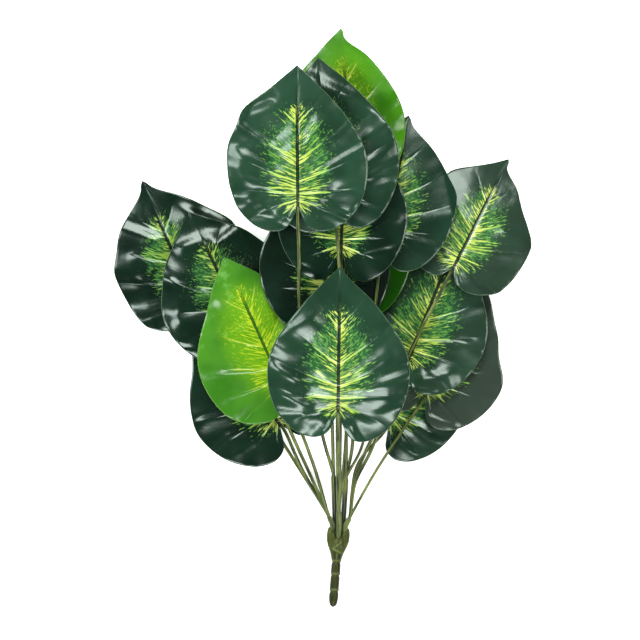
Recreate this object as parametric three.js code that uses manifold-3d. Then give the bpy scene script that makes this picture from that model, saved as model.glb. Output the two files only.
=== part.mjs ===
// An artificial philodendron bunch: sixteen heart-shaped plastic blades on thin coated wire stems.
// Five branches gather the stems in one moulded handle. The bunch lies on its back on a table.
// Millimetres. +Z is up, away from the table. +Y runs from the handle to the tip of the top leaf.
import * as THREE from "three";
import { mergeVertices } from "three/addons/utils/BufferGeometryUtils.js";
import Module from "manifold-3d";

const wasm = await Module();
wasm.setup();

// Blades
const BLADE_THICKNESS = 0.8;
const RIB_DEPTH = 1.2; // the moulded rib under the midrib
const GROOVE_DEPTH = 0.5; // the midrib pressed into the face
const QUILT = 1.1; // how far a panel swells between two side veins
const PANELS = 7; // panels between the side veins of one half
const ROWS = 14; // mesh rows from the stalk notch to the tip: a vein at each even row
const COLUMNS = [0, 0.08, 0.32, 0.58, 0.82, 1]; // mesh columns from midrib to edge
const EDGE_WAVES = 3; // waves along the edge of one half
const EVEN_ROOTS = 0.15; // the share of a vein's place on the midrib that follows its place on the edge
const VEIN_BEND = [0.55, 0.42]; // where a side vein bends, as shares of its run across and along
const EDGE_STATIONS = [ // where an edge can stand out or in: middle and reach, in lengths
  [0.48, 0.13], // side
  [0.7, 0.12], // shoulder
  [0.9, 0.08], // beside the tip
];
const TIP_RUN = 0.06; // over which such a change fades out at the tip, in lengths
const LOBE_LENGTH = 0.2; // of a basal lobe, in lengths

// Stems and branches
const STEM_DIAMETER = 3;
const STEM_REACH = 5; // how far a stem runs on under its blade
const STEM_APPROACH = 12; // length of a stem's last straight stretch
const STEM_DIP = 1.6; // how far it rises to the blade there
const PRONG_DIAMETER = 4.4;
const PRONG_MOUTH = 1.5; // straight run of a prong out of its socket
const FORK_OVERLAP = 5; // how far the stems start inside their prong
const SEAT_GAP = 0.3; // clearance where one piece is seated in or against another

// Handle, measured along its axis from the rounded foot
const HANDLE_FOOT = new THREE.Vector3(7.5, -243, 9.4);
const COLLAR_TOP = new THREE.Vector3(12.5, -176, 9.4);
const COLLAR_RADIUS = 9.8;
const SOCKET_CIRCLE = 5.9; // radius of the ring of branch sockets
const SOCKET_DEPTH = 8;
const HANDLE_PROFILE = [
  [0, 0],
  [1.3, 0.5],
  [2.7, 2],
  [3.5, 5],
  [3.8, 9],
  [3.6, 12],
  [3.3, 13],
  [3.7, 15],
  [3.7, 25],
  [3.4, 26.5],
  [3.7, 28],
  [3.6, 36],
  [3.4, 37.5],
  [3.9, 40],
  [5.4, 45.5],
  [8.2, 51.5],
  [9.5, 56],
  [COLLAR_RADIUS, 59.5],
  [COLLAR_RADIUS, 66],
  [9.2, 67],
  [0, 67],
];

// Half of a blade's outline in fractions of its length: stalk notch, lobe, shoulder, tip
const OUTLINE = new THREE.SplineCurve(
  [
    [0, 0],
    [0.03, -0.08],
    [0.07, -0.165],
    [0.13, -0.205],
    [0.21, -0.21],
    [0.32, -0.155],
    [0.425, -0.03],
    [0.49, 0.12],
    [0.51, 0.29],
    [0.475, 0.44],
    [0.395, 0.575],
    [0.285, 0.715],
    [0.175, 0.835],
    [0.08, 0.925],
    [0, 1],
  ].map(([across, along]) => new THREE.Vector2(across, along)),
);
const HALF_WIDTH = 0.51;
const EVEN_EDGES = [[0, 0, 0], [0, 0, 0]];
const EVEN_LOBES = [1, 1];

const GREEN_DARK = new THREE.MeshStandardMaterial({ color: 0x24493a, roughness: 0.3, metalness: 0 });
const GREEN_LIGHT = new THREE.MeshStandardMaterial({ color: 0x4d9e22, roughness: 0.35, metalness: 0 });
const STEM_OLIVE = new THREE.MeshStandardMaterial({ color: 0x75854a, roughness: 0.55, metalness: 0 });
const HANDLE_OLIVE = new THREE.MeshStandardMaterial({ color: 0x5a6a32, roughness: 0.5, metalness: 0 });

// One entry a leaf. base is the stalk notch and tip the point, left and right are the half widths.
// roll lifts the right half in degrees. rise and droop fold the halves up at the midrib and down at
// the edge, arch lifts the middle of the length and lobes lowers the two basal lobes. edges is how far
// the left and then the right edge stands out at the side, at the shoulder and beside the tip, and
// lobe scales the lengths of the left and the right lobe. wave is the height of the edge waves and
// turn their phase. stem is the stem's route from its branch to the blade.
const LEAVES = {
  // upper left, in front
  leaf_01: {
    colour: GREEN_DARK, base: [-21.5, 90.5, 86], tip: [-22, 206, 92],
    left: 58, right: 58, roll: 2, rise: 3, droop: 5, arch: 3, lobes: 2,
    edges: [[4, 10, 1], [0, 1, 0]], lobe: [0.82, 0.82], wave: 1.6, turn: 0.4,
    stem: { via: [[-1, -99, 28], [-20, 10.5, 58], [-20.5, 47, 71]] },
  },
  // upper middle, behind the first
  leaf_02: {
    colour: GREEN_DARK, base: [7.5, 96.5, 76], tip: [-5, 213.5, 75],
    left: 58, right: 58, roll: -1, rise: 3, droop: 5, arch: 2, lobes: 2,
    wave: 1.5, turn: 2.1,
    stem: { via: [[13.5, -93.5, 40], [12.5, 44, 68]] },
  },
  // light green, topmost
  leaf_03: {
    colour: GREEN_LIGHT, base: [23, 130, 56.5], tip: [14, 239.5, 50],
    left: 52.5, right: 47, roll: 0, rise: 1, droop: 4, arch: 2, lobes: 2,
    edges: [[0, 4.5, 1.5], [-1, -0.5, -5.5]], wave: 2.0, turn: 1.2,
    stem: { via: [[18.5, -79, 26], [17.5, -6.5, 42], [19, 50, 52.5]] },
  },
  // right of the middle, high
  leaf_04: {
    colour: GREEN_DARK, base: [50.5, 64, 47.5], tip: [70.5, 168.5, 31],
    left: 52, right: 53, roll: 0, rise: 1, droop: 3, arch: 1, lobes: 1,
    edges: [[0, 0, 0], [3.5, 1.5, -3.5]], wave: 1.4, turn: 3.3,
    stem: { diameter: 2.5, via: [[32.5, -105, 20], [42.5, 9, 42.5], [46, 40, 45.5]] },
  },
  // middle, behind the first two
  leaf_05: {
    colour: GREEN_DARK, base: [14, 54, 64], tip: [17.5, 165, 65],
    left: 54.5, right: 54.5, roll: 0, rise: 2, droop: 4, arch: 1, lobes: 2,
    wave: 1.2, turn: 0.9,
    stem: { via: [[18.5, -96, 34], [15.5, 14.5, 56]] },
  },
  // middle, below and behind the fifth
  leaf_06: {
    colour: GREEN_DARK, base: [1.5, 13, 36], tip: [-1.5, 125, 35],
    left: 55, right: 55, roll: 0, rise: 1, droop: 3, arch: 1, lobes: 1,
    wave: 1.2, turn: 2.8,
    stem: { via: [[6.5, -78.5, 32], [4, -27, 35]] },
  },
  // light green, left
  leaf_07: {
    colour: GREEN_LIGHT, base: [-32.5, -62, 31], tip: [-83.5, 50.5, 27],
    left: 60, right: 52, roll: -2.5, rise: 2, droop: 4, arch: 2, lobes: 1,
    edges: [[0, -2, 0], [0, 0, 0]], lobe: [0.66, 0.75], wave: 1.6, turn: 1.7,
    stem: { via: [[-7.5, -127, 20], [-19.5, -94, 26.5]] },
  },
  // far left, lowest
  leaf_08: {
    colour: GREEN_DARK, base: [-107.5, 10.5, 8], tip: [-153, 115, 3],
    left: 53, right: 57, roll: 2, rise: 1, droop: 4, arch: 1, lobes: 1,
    edges: [[4.5, 5, -3.5], [4.5, 1.5, -3]], lobe: [0.55, 0.85], wave: 1.6, turn: 2.4,
    stem: { via: [[-20, -128, 8], [-52, -77.5, 5], [-88, -20, 4.5]] },
  },
  // front, lower middle
  leaf_09: {
    colour: GREEN_DARK, base: [11.5, -77.5, 70], tip: [13, 41.5, 84],
    left: 59, right: 59, roll: 0, rise: 4, droop: 7, arch: 3, lobes: 3,
    edges: [[0, 0, 0], [0, 0, -2]], lobe: [0.84, 1], wave: 2.0, turn: 0.2,
    stem: { diameter: 3.8, via: [[11.5, -112, 47]] },
  },
  // left, between the eighth and the seventh
  leaf_10: {
    colour: GREEN_DARK, base: [-65, -8, 21], tip: [-114, 88.5, 13],
    left: 60, right: 54, roll: -3, rise: 2, droop: 4, arch: 1, lobes: 1,
    edges: [[0, 3, 0], [0, 3, 0]], wave: 1.7, turn: 0.7,
    stem: { via: [[-13.5, -127.5, 15], [-30, -90.5, 18.5], [-52, -35.5, 19]] },
  },
  // far right
  leaf_11: {
    colour: GREEN_DARK, base: [108, 42, 33], tip: [155.5, 133.5, 1],
    left: 51, right: 51, roll: 0, rise: 1, droop: 3, arch: 2, lobes: 1,
    edges: [[0.5, 8.5, 0], [3.5, -3, -6]], lobe: [0.62, 0.62], wave: 1.6, turn: 3.9,
    stem: { via: [[26, -139, 15.5], [39.5, -111, 19], [72, -28, 27.5], [96, 18.5, 30.5]] },
  },
  // right, below the eleventh
  leaf_12: {
    colour: GREEN_DARK, base: [70, -37, 21.5], tip: [113, 70, 15],
    left: 56, right: 56, roll: 2, rise: 1, droop: 3, arch: 1, lobes: 1,
    lobe: [0.85, 0.85], wave: 1.2, turn: 1.4,
    stem: { via: [[25, -139, 13], [35.5, -111, 16], [58, -66, 18.5]] },
  },
  // light green, almost hidden in the middle
  leaf_13: {
    colour: GREEN_LIGHT, base: [18.5, 24.5, 24.5], tip: [18.5, 137.5, 21],
    left: 55, right: 55, roll: 0, rise: 1, droop: 3, arch: 1, lobes: 0,
    wave: 1.2, turn: 0,
    stem: { via: [[24, -105, 16], [20, -10.5, 23.5]] },
  },
  // right, behind the twelfth
  leaf_14: {
    colour: GREEN_DARK, base: [85.5, -63.5, 13.6], tip: [130.5, 38, 8.5],
    left: 55, right: 57.5, roll: 1, rise: 1, droop: 3, arch: 1, lobes: 1,
    edges: [[0, 0, 0], [-7.5, -4, 0]], wave: 1.2, turn: 2.2,
    stem: { diameter: 2.5, via: [[44, -128, 12], [69, -90, 11]] },
  },
  // right, lowest
  leaf_15: {
    colour: GREEN_DARK, base: [54.5, -90.5, 6.7], tip: [112, 5, 3],
    left: 52, right: 52, roll: -2.5, rise: 1, droop: 2.5, arch: 1, lobes: 1,
    lobe: [1, 0.93], wave: 1, turn: 0.5,
    stem: { diameter: 2.5, via: [[28, -124, 6]] },
  },
  // left, lowest
  leaf_16: {
    colour: GREEN_DARK, base: [-37.5, -89, 13], tip: [-106.5, 2.5, 13],
    left: 61, right: 50, roll: 0, rise: 1, droop: 4, arch: 1, lobes: 1,
    edges: [[-2, -4.5, 0], [0, 0, 0]], lobe: [0.95, 0.9], wave: 1.2, turn: 1.9,
    stem: { via: [[-19, -126, 12]] },
  },
};

// One entry a branch: the angle of its socket round the collar, the point where its prong forks,
// and the leaves that its stems carry.
const BRANCHES = {
  branch_left: { angle: 162, fork: [4, -166.5, 12.5], leaves: [7, 8, 10, 16] },
  branch_centre_left: { angle: 234, fork: [8, -132, 14], leaves: [1, 6] },
  branch_centre: { angle: 90, fork: [12.5, -162, 19], leaves: [2, 5, 9] },
  branch_centre_right: { angle: 306, fork: [18.5, -134.5, 13], leaves: [3, 4, 13] },
  branch_right: { angle: 18, fork: [21.5, -168, 12.5], leaves: [11, 12, 14, 15] },
};

const vector = ([x, y, z]) => new THREE.Vector3(x, y, z);

// The frame of a blade: its origin at the stalk notch, Y to the tip, Z out of its face.
function bladeFrame(leaf) {
  const base = vector(leaf.base);
  const along = vector(leaf.tip).sub(base);
  const length = along.length();
  along.normalize();
  const across = new THREE.Vector3(along.y, -along.x, 0).normalize();
  across.applyAxisAngle(along, -THREE.MathUtils.degToRad(leaf.roll));
  const out = new THREE.Vector3().crossVectors(across, along);
  return { base, along, across, out, length };
}

// A point of a blade's face. t runs round the half outline from notch to tip, s from midrib to edge.
function facePoint(leaf, length, side, t, s) {
  const edge = OUTLINE.getPointAt(t);
  const half = side < 0 ? leaf.left : leaf.right;
  const changes = (leaf.edges ?? EVEN_EDGES)[side < 0 ? 0 : 1];
  const lobe = (leaf.lobe ?? EVEN_LOBES)[side < 0 ? 0 : 1];
  const fade = Math.min(1, (1 - edge.y) / TIP_RUN);
  let edgeAcross = (edge.x * half) / HALF_WIDTH;
  EDGE_STATIONS.forEach(([middle, reach], i) => {
    edgeAcross += changes[i] * fade * Math.exp(-(((edge.y - middle) / reach) ** 2));
  });
  const edgeAlong = edge.y * length * (edge.y < 0 ? lobe : 1);
  const rootAlong = (EVEN_ROOTS * t + (1 - EVEN_ROOTS) * t ** 4) * length;
  // Each side vein leaves the midrib sideways and bends towards the edge point it serves.
  const bendAcross = VEIN_BEND[0] * edgeAcross;
  const bendAlong = rootAlong + VEIN_BEND[1] * (edgeAlong - rootAlong);
  const across = 2 * s * (1 - s) * bendAcross + s * s * edgeAcross;
  const along = (1 - s) ** 2 * rootAlong + 2 * s * (1 - s) * bendAlong + s * s * edgeAlong;
  const u = across / half;
  const v = along / length;
  let height = leaf.rise * u - leaf.droop * u * u;
  height += v > 0 ? leaf.arch * 4 * v * (1 - v) : -leaf.lobes * (v / LOBE_LENGTH) ** 2;
  const wave = Math.sin(2 * Math.PI * EDGE_WAVES * t + leaf.turn + side);
  height += leaf.wave * s * s * wave * Math.sin(Math.PI * t);
  height += QUILT * Math.sin(Math.PI * PANELS * t) ** 2 * 4 * s * (1 - s) * Math.sin(Math.PI * t);
  height -= GROOVE_DEPTH * Math.max(0, 1 - s / COLUMNS[1]) * (1 - t);
  return new THREE.Vector3(side * across, along, height);
}

// A closed blade: the same grid of triangles on face and back, joined along the edge.
function bladeGeometry(leaf) {
  const { length } = bladeFrame(leaf);
  const faces = [];
  const backs = [];
  const grid = new Map();
  const place = (side, row, column) => {
    // The notch, the tip and the midrib are shared by both halves.
    const ends = row === 0 || row === ROWS;
    const key = ends ? `${row}` : column === 0 ? `${row}:0` : `${row}:${side * column}`;
    if (!grid.has(key)) {
      const s = ends ? 0 : COLUMNS[column];
      const p = facePoint(leaf, length, side, row / ROWS, s);
      const rib = s === 0 ? RIB_DEPTH * (1 - p.y / length) : 0;
      grid.set(key, faces.length);
      faces.push(p);
      backs.push(p.clone().setZ(p.z - BLADE_THICKNESS - rib));
    }
    return grid.get(key);
  };
  const last = COLUMNS.length - 1;
  const triangles = [];
  const add = (side, a, b, c) => {
    if (a === b || b === c || a === c) return;
    triangles.push(side > 0 ? [a, b, c] : [a, c, b]);
  };
  for (const side of [1, -1]) {
    for (let row = 0; row < ROWS; row++) {
      for (let column = 0; column < last; column++) {
        const a = place(side, row, column);
        const b = place(side, row, column + 1);
        const c = place(side, row + 1, column + 1);
        const d = place(side, row + 1, column);
        add(side, a, b, c);
        add(side, a, c, d);
      }
    }
  }
  const count = faces.length;
  const index = [];
  for (const [a, b, c] of triangles) index.push(a, b, c, count + c, count + b, count + a);
  for (const side of [1, -1]) {
    for (let row = 0; row < ROWS; row++) {
      const a = place(side, row, last);
      const b = place(side, row + 1, last);
      const [low, high] = side > 0 ? [a, b] : [b, a];
      index.push(low, count + low, high, high, count + low, count + high);
    }
  }
  const geometry = new THREE.BufferGeometry().setFromPoints([...faces, ...backs]);
  geometry.setIndex(index);
  geometry.computeVertexNormals();
  return geometry;
}

// A three.js geometry as a solid, and back.
function toSolid(geometry) {
  const bare = geometry.clone();
  bare.deleteAttribute("normal");
  bare.deleteAttribute("uv");
  const merged = mergeVertices(bare, 1e-4);
  return new wasm.Manifold(
    new wasm.Mesh({
      numProp: 3,
      vertProperties: new Float32Array(merged.attributes.position.array),
      triVerts: new Uint32Array(merged.index.array),
    }),
  );
}

function toGeometry(solid) {
  const mesh = solid.getMesh();
  const geometry = new THREE.BufferGeometry();
  geometry.setAttribute("position", new THREE.BufferAttribute(mesh.vertProperties, 3));
  geometry.setIndex(new THREE.BufferAttribute(mesh.triVerts, 1));
  geometry.computeVertexNormals();
  return geometry;
}

// A round bar along a smooth curve through the given points.
function bar(points, diameter, steps, sides = 6) {
  const ring = Array.from({ length: sides }, (_, i) => {
    const angle = (2 * Math.PI * i) / sides;
    return new THREE.Vector2((diameter / 2) * Math.cos(angle), (diameter / 2) * Math.sin(angle));
  });
  return new THREE.ExtrudeGeometry(new THREE.Shape(ring), {
    steps,
    bevelEnabled: false,
    extrudePath: new THREE.CatmullRomCurve3(points, false, "centripetal"),
  });
}

// The handle's own frame: Y along its axis, X across, Z up.
const handleAxis = COLLAR_TOP.clone().sub(HANDLE_FOOT).normalize();
const handleAcross = new THREE.Vector3(handleAxis.y, -handleAxis.x, 0).normalize();
const handleOut = new THREE.Vector3().crossVectors(handleAcross, handleAxis);

// A point in the collar: at an angle round its axis, and so far below or above its top face.
function inCollar(angle, above) {
  const turn = THREE.MathUtils.degToRad(angle);
  return COLLAR_TOP.clone()
    .addScaledVector(handleAxis, above)
    .addScaledVector(handleAcross, SOCKET_CIRCLE * Math.cos(turn))
    .addScaledVector(handleOut, SOCKET_CIRCLE * Math.sin(turn));
}

// The handle: a turned stalk with step rings and a flared collar, bored for the five prongs, and
// with a small flat where the collar rests on the table.
function handleGeometry() {
  const profile = HANDLE_PROFILE.map(([radius, along]) => new THREE.Vector2(radius, along));
  const turned = new THREE.LatheGeometry(profile, 28);
  turned.applyMatrix4(new THREE.Matrix4().makeBasis(handleAcross, handleAxis, handleOut));
  turned.translate(HANDLE_FOOT.x, HANDLE_FOOT.y, HANDLE_FOOT.z);
  let solid = toSolid(turned);
  for (const { angle } of Object.values(BRANCHES)) {
    const socket = [inCollar(angle, -SOCKET_DEPTH - SEAT_GAP), inCollar(angle, 3)];
    solid = solid.subtract(toSolid(bar(socket, PRONG_DIAMETER + 4 * SEAT_GAP, 1, 12)));
  }
  const table = new THREE.BoxGeometry(200, 300, 20);
  table.translate(HANDLE_FOOT.x, HANDLE_FOOT.y, -10);
  return toGeometry(solid.subtract(toSolid(table)));
}

// A branch: a prong from its socket to its fork, and a stem from there to the back of each blade.
function branchGeometry({ angle, fork, leaves }) {
  const forkPoint = vector(fork);
  const mouth = inCollar(angle, PRONG_MOUTH);
  const seat = [-SOCKET_DEPTH, -SOCKET_DEPTH / 2].map((depth) => inCollar(angle, depth));
  const prong = bar([...seat, mouth, forkPoint], PRONG_DIAMETER, 12, 8);
  const overlap = Math.min(0.5, FORK_OVERLAP / forkPoint.distanceTo(mouth));
  const inside = forkPoint.clone().lerp(mouth, overlap);
  let solid = toSolid(prong);
  for (const number of leaves) {
    const leaf = LEAVES[`leaf_${String(number).padStart(2, "0")}`];
    const { base, along, out, length } = bladeFrame(leaf);
    const diameter = leaf.stem.diameter ?? STEM_DIAMETER;
    const reach = STEM_REACH / length;
    const back = GROOVE_DEPTH + BLADE_THICKNESS + RIB_DEPTH * (1 - reach);
    const below = back - leaf.arch * 4 * reach * (1 - reach) + SEAT_GAP + diameter / 2;
    const end = base.clone().addScaledVector(along, STEM_REACH).addScaledVector(out, -below);
    const before = end.clone().addScaledVector(along, -STEM_APPROACH).addScaledVector(out, -STEM_DIP);
    const route = [inside, forkPoint, ...leaf.stem.via.map(vector), before, end];
    solid = solid.add(toSolid(bar(route, diameter, 16)));
  }
  return toGeometry(solid);
}

// Assembly, with the origin under the middle of the bunch at table height
const bunch = new THREE.Group();
for (const [name, leaf] of Object.entries(LEAVES)) {
  const { base, across, along, out } = bladeFrame(leaf);
  const blade = new THREE.Mesh(bladeGeometry(leaf), leaf.colour);
  blade.name = name;
  blade.position.copy(base);
  blade.quaternion.setFromRotationMatrix(new THREE.Matrix4().makeBasis(across, along, out));
  bunch.add(blade);
}
for (const [name, branch] of Object.entries(BRANCHES)) {
  const stems = new THREE.Mesh(branchGeometry(branch), STEM_OLIVE);
  stems.name = name;
  bunch.add(stems);
}
const handle = new THREE.Mesh(handleGeometry(), HANDLE_OLIVE);
handle.name = "handle";
bunch.add(handle);

const extent = new THREE.Box3().setFromObject(bunch, true);
const middle = extent.getCenter(new THREE.Vector3());
bunch.position.set(-middle.x, -middle.y, -extent.min.z);
const group = new THREE.Group();
group.add(bunch);
group.updateMatrixWorld(true);

export default group;
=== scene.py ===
# %% [markdown]
# # An artificial philodendron bunch
#
# Sixteen plastic leaves sit on thin coated wires. Five branches gather the wires in one moulded
# handle. The bunch lies on its back on a white table, and the camera looks straight down on it.
#
# The solid model comes first, as a fixed frame. Every piece below takes the place of one of its
# solids, at the same place and size, and gives it the finer form and the finish of the real one.

# %% Load the solid model as a fixed frame
import math
from functools import partialmethod
from typing import NamedTuple

import bpy
import numpy as np
from mathutils import Matrix, Vector


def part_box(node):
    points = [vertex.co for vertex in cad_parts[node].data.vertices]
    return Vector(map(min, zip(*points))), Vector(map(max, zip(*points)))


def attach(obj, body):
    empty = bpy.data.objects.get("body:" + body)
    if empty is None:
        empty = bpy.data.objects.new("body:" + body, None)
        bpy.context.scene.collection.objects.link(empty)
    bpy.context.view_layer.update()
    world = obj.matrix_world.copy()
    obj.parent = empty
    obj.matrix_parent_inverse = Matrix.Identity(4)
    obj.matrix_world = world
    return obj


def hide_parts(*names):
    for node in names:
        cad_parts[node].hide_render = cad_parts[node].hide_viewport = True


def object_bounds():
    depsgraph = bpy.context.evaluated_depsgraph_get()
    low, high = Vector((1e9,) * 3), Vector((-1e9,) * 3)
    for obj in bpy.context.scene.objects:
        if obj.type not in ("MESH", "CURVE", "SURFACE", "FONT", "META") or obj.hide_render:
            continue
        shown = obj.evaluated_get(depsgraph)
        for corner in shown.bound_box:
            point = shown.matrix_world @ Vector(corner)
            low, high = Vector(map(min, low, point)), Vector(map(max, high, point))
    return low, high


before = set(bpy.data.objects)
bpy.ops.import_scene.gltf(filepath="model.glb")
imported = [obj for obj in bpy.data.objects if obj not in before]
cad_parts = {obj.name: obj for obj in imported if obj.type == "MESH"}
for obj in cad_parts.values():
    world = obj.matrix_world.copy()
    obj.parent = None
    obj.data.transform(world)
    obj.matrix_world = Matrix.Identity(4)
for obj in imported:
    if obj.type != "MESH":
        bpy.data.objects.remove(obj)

MM = 0.001  # this file's tables are in millimetres, Blender's scene is in metres
solid_low, solid_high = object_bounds()
print("solid model, metres:", [round(side, 4) for side in solid_high - solid_low])

# %% [markdown]
# ## The camera
#
# The bunch is seen flat on, from far away, so a long lens looks straight down here. The lens
# follows from how much of the table one picture covers at the middle of the bunch's depth.

# %% Place the camera
CAMERA_PLACE = Vector((-1.83, -0.35, 3000)) * MM
PICTURE_SIDE = 530.6  # the square of table that the picture covers
MIDDLE_HEIGHT = 45  # the height above the table where it does
SENSOR = 36


def add_object(name, data):
    """A new object in the scene."""
    thing = bpy.data.objects.new(name, data)
    bpy.context.scene.collection.objects.link(thing)
    return thing


camera_data = bpy.data.cameras.new("camera")
camera_data.sensor_width = SENSOR
camera_data.lens = SENSOR * (CAMERA_PLACE.z / MM - MIDDLE_HEIGHT) / PICTURE_SIDE
camera = add_object("camera", camera_data)
camera.location = CAMERA_PLACE
bpy.context.scene.camera = camera
print("lens", round(camera_data.lens, 1), "mm")

# %% [markdown]
# ## The lamps
#
# Glossy plastic shows the lamps in its folds. A studio keeps the side of the camera dark, so that
# flat leaves stay deep green, and hangs large soft boxes round it, which light up every slope that
# leans to one of them.

# %% Hang the soft boxes
AIM = Vector((0, 0, 0.03))
SOFT_BOXES = {  # place and size in metres, power in watts, tint
    "soft_box_top": [(-0.1, 1.3, 1.6), (1.3, 0.72), 36, (1, 1, 0.98)],
    "soft_box_left": [(-1.4, 0.3, 1.65), (0.63, 1.25), 26.5, (0.97, 1, 1)],
    "soft_box_right": [(1.4, -0.1, 1.6), (0.47, 1.05), 14, (1, 0.98, 0.96)],
    "soft_box_foot": [(-0.1, -1.35, 1.6), (1.25, 0.58), 30.5, (1, 1, 1)],
}


def hang_soft_box(name, place, size, power, tint):
    """An oval lamp that faces the middle of the bunch."""
    lamp = bpy.data.lights.new(name, "AREA")
    lamp.shape = "ELLIPSE"
    lamp.size, lamp.size_y = size
    lamp.energy = power
    lamp.color = tint
    holder = add_object(name, lamp)
    holder.location = place
    holder.rotation_mode = "QUATERNION"
    holder.rotation_quaternion = (AIM - Vector(place)).to_track_quat("-Z", "Y")


for name, values in SOFT_BOXES.items():
    hang_soft_box(name, *values)
print(len(SOFT_BOXES), "soft boxes")

# %% [markdown]
# ## The table
#
# The bunch lies on a plain white table in a dim room. The table glows a little, so the leaves cast
# no hard shadow on it.

# %% Light the room a little and lay the table
ROOM_LIGHT = {"Color": (0.86, 0.93, 0.92, 1), "Strength": 0.12}
TABLE_SIDE = 6
TABLE_LOOK = {
    "Base Color": (0.92, 0.92, 0.92, 1),
    "Roughness": 0.9,
    "Emission Color": (1, 1, 1, 1),
    "Emission Strength": 0.75,
}


def set_inputs(node, values):
    """Sets a node's inputs by name."""
    for name, value in values.items():
        node.inputs[name].default_value = value


world = bpy.data.worlds.new("studio")
world.use_nodes = True
set_inputs(world.node_tree.nodes["Background"], ROOM_LIGHT)
bpy.context.scene.world = world
bpy.context.scene.view_settings.view_transform = "Standard"

table_mesh = bpy.data.meshes.new("table")
half_side = TABLE_SIDE / 2
signs = [(-1, -1), (1, -1), (1, 1), (-1, 1)]
table_corners = [(x * half_side, y * half_side, 0) for x, y in signs]
table_mesh.from_pydata(table_corners, [], [(0, 1, 2, 3)])
table = add_object("table", table_mesh)
white = bpy.data.materials.new("white table")
white.use_nodes = True
set_inputs(white.node_tree.nodes["Principled BSDF"], TABLE_LOOK)
table_mesh.materials.append(white)
print("a table of", TABLE_SIDE, "metres")

# %% [markdown]
# ## A small language for node trees
#
# Both the shapes and the finishes below are formulas over each leaf. A node tree needs one node
# for every plus and times, which is long to write and hard to read. The class Field stands for
# one value in a tree and adds and multiplies as a number does, so that a formula in this file
# looks like a formula.

# %% Let a value in a tree act like a number
class Field:
    """One value in a node tree."""

    def __init__(self, tree, socket):
        self.tree = tree
        self.socket = socket

    def math(self, operation, *others):
        node = self.tree.nodes.new("ShaderNodeMath")
        node.operation = operation
        for socket, value in zip(node.inputs, (self, *others)):
            plug(self.tree, socket, value)
        return Field(self.tree, node.outputs[0])

    def __neg__(self):
        return self * -1.0

    def __rsub__(self, other):
        return -self + other

    def bell(self, width):
        """1 where the value is 0, and falling to nothing a few widths away."""
        ratio = self / width
        return (-(ratio * ratio)).exp()

    def ramp(self, low, high):
        """0 at low, 1 at high, smooth between them and level beyond."""
        node = self.tree.nodes.new("ShaderNodeMapRange")
        node.interpolation_type = "SMOOTHSTEP"
        down = not isinstance(low, Field) and not isinstance(high, Field) and low > high
        ends = (high, low) if down else (low, high)
        for name, value in zip(("Value", "From Min", "From Max"), (self, *ends)):
            plug(self.tree, node.inputs[name], value)
        result = Field(self.tree, node.outputs["Result"])
        return 1.0 - result if down else result


OPERATIONS = {
    "__add__": "ADD", "__radd__": "ADD", "__sub__": "SUBTRACT", "__truediv__": "DIVIDE",
    "__mul__": "MULTIPLY", "__rmul__": "MULTIPLY", "__pow__": "POWER", "exp": "EXPONENT",
    "sin": "SINE", "size": "ABSOLUTE", "whole": "FLOOR", "above": "GREATER_THAN",
    "below": "LESS_THAN", "at_least": "MAXIMUM", "at_most": "MINIMUM",
}
for name, operation in OPERATIONS.items():
    setattr(Field, name, partialmethod(Field.math, operation))


def plug(tree, socket, value):
    """Gives an input socket a value: a link from a field, or a constant."""
    if isinstance(value, Field):
        tree.links.new(value.socket, socket)
    else:
        socket.default_value = value


print(len(OPERATIONS), "operations")

# %% [markdown]
# ## Short names for nodes
#
# Not all nodes are sums. The class Wiring makes any node in one line and gives short names to those
# that come back often, such as noise and the blend of two colours. It serves geometry trees and
# material trees alike.

# %% Shorten the making of nodes
MIX_SHARE, MIX_FIRST, MIX_SECOND, MIX_RESULT = 0, 6, 7, 2  # a Mix node's sockets for colours


class Wiring:
    """Short names for the nodes of one tree."""

    def __init__(self, tree):
        self.tree = tree

    def node(self, kind, inputs=(), **settings):
        node = self.tree.nodes.new(kind)
        for name, value in settings.items():
            setattr(node, name, value)
        for name, value in dict(inputs).items():
            plug(self.tree, node.inputs[name], value)
        return node

    def made(self, kind, inputs=(), output=0, **settings):
        return Field(self.tree, self.node(kind, inputs, **settings).outputs[output])

    def point(self, x, y, z=0.0):
        return self.made("ShaderNodeCombineXYZ", {"X": x, "Y": y, "Z": z})

    def parts(self, vector):
        node = self.node("ShaderNodeSeparateXYZ", {"Vector": vector})
        return [Field(self.tree, socket) for socket in node.outputs]

    def noise(self, vector, scale=1.0, detail=2.0, roughness=0.5):
        """A smooth random number, mostly from 0.3 to 0.7, for each place."""
        sizes = {"Vector": vector, "Scale": scale, "Detail": detail, "Roughness": roughness}
        return self.made("ShaderNodeTexNoise", sizes)

    def blend(self, share, first, second):
        """The first colour where share is 0, the second where it is 1."""
        inputs = {MIX_SHARE: share, MIX_FIRST: first, MIX_SECOND: second}
        return self.made("ShaderNodeMix", inputs, output=MIX_RESULT, data_type="RGBA")

    def store(self, geometry, name, value):
        """The geometry with a vector kept on each of its points."""
        inputs = {"Geometry": geometry, "Name": name, "Value": value}
        settings = {"data_type": "FLOAT_VECTOR", "domain": "POINT"}
        return self.made("GeometryNodeStoreNamedAttribute", inputs, **settings)

    def attribute(self, name):
        """A material's view of what was stored, split in three."""
        return self.parts(self.made("ShaderNodeAttribute", output="Vector", attribute_name=name))


def colour(red, green, blue):
    """A screen colour, 0 to 255, as the light that Blender counts with."""
    shares = np.array([red, green, blue]) / 255
    light = np.where(shares <= 0.04045, shares / 12.92, ((shares + 0.055) / 1.055) ** 2.4)
    return (*light.tolist(), 1.0)


print("mid grey is", round(colour(128, 128, 128)[0], 3), "as light")

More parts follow.
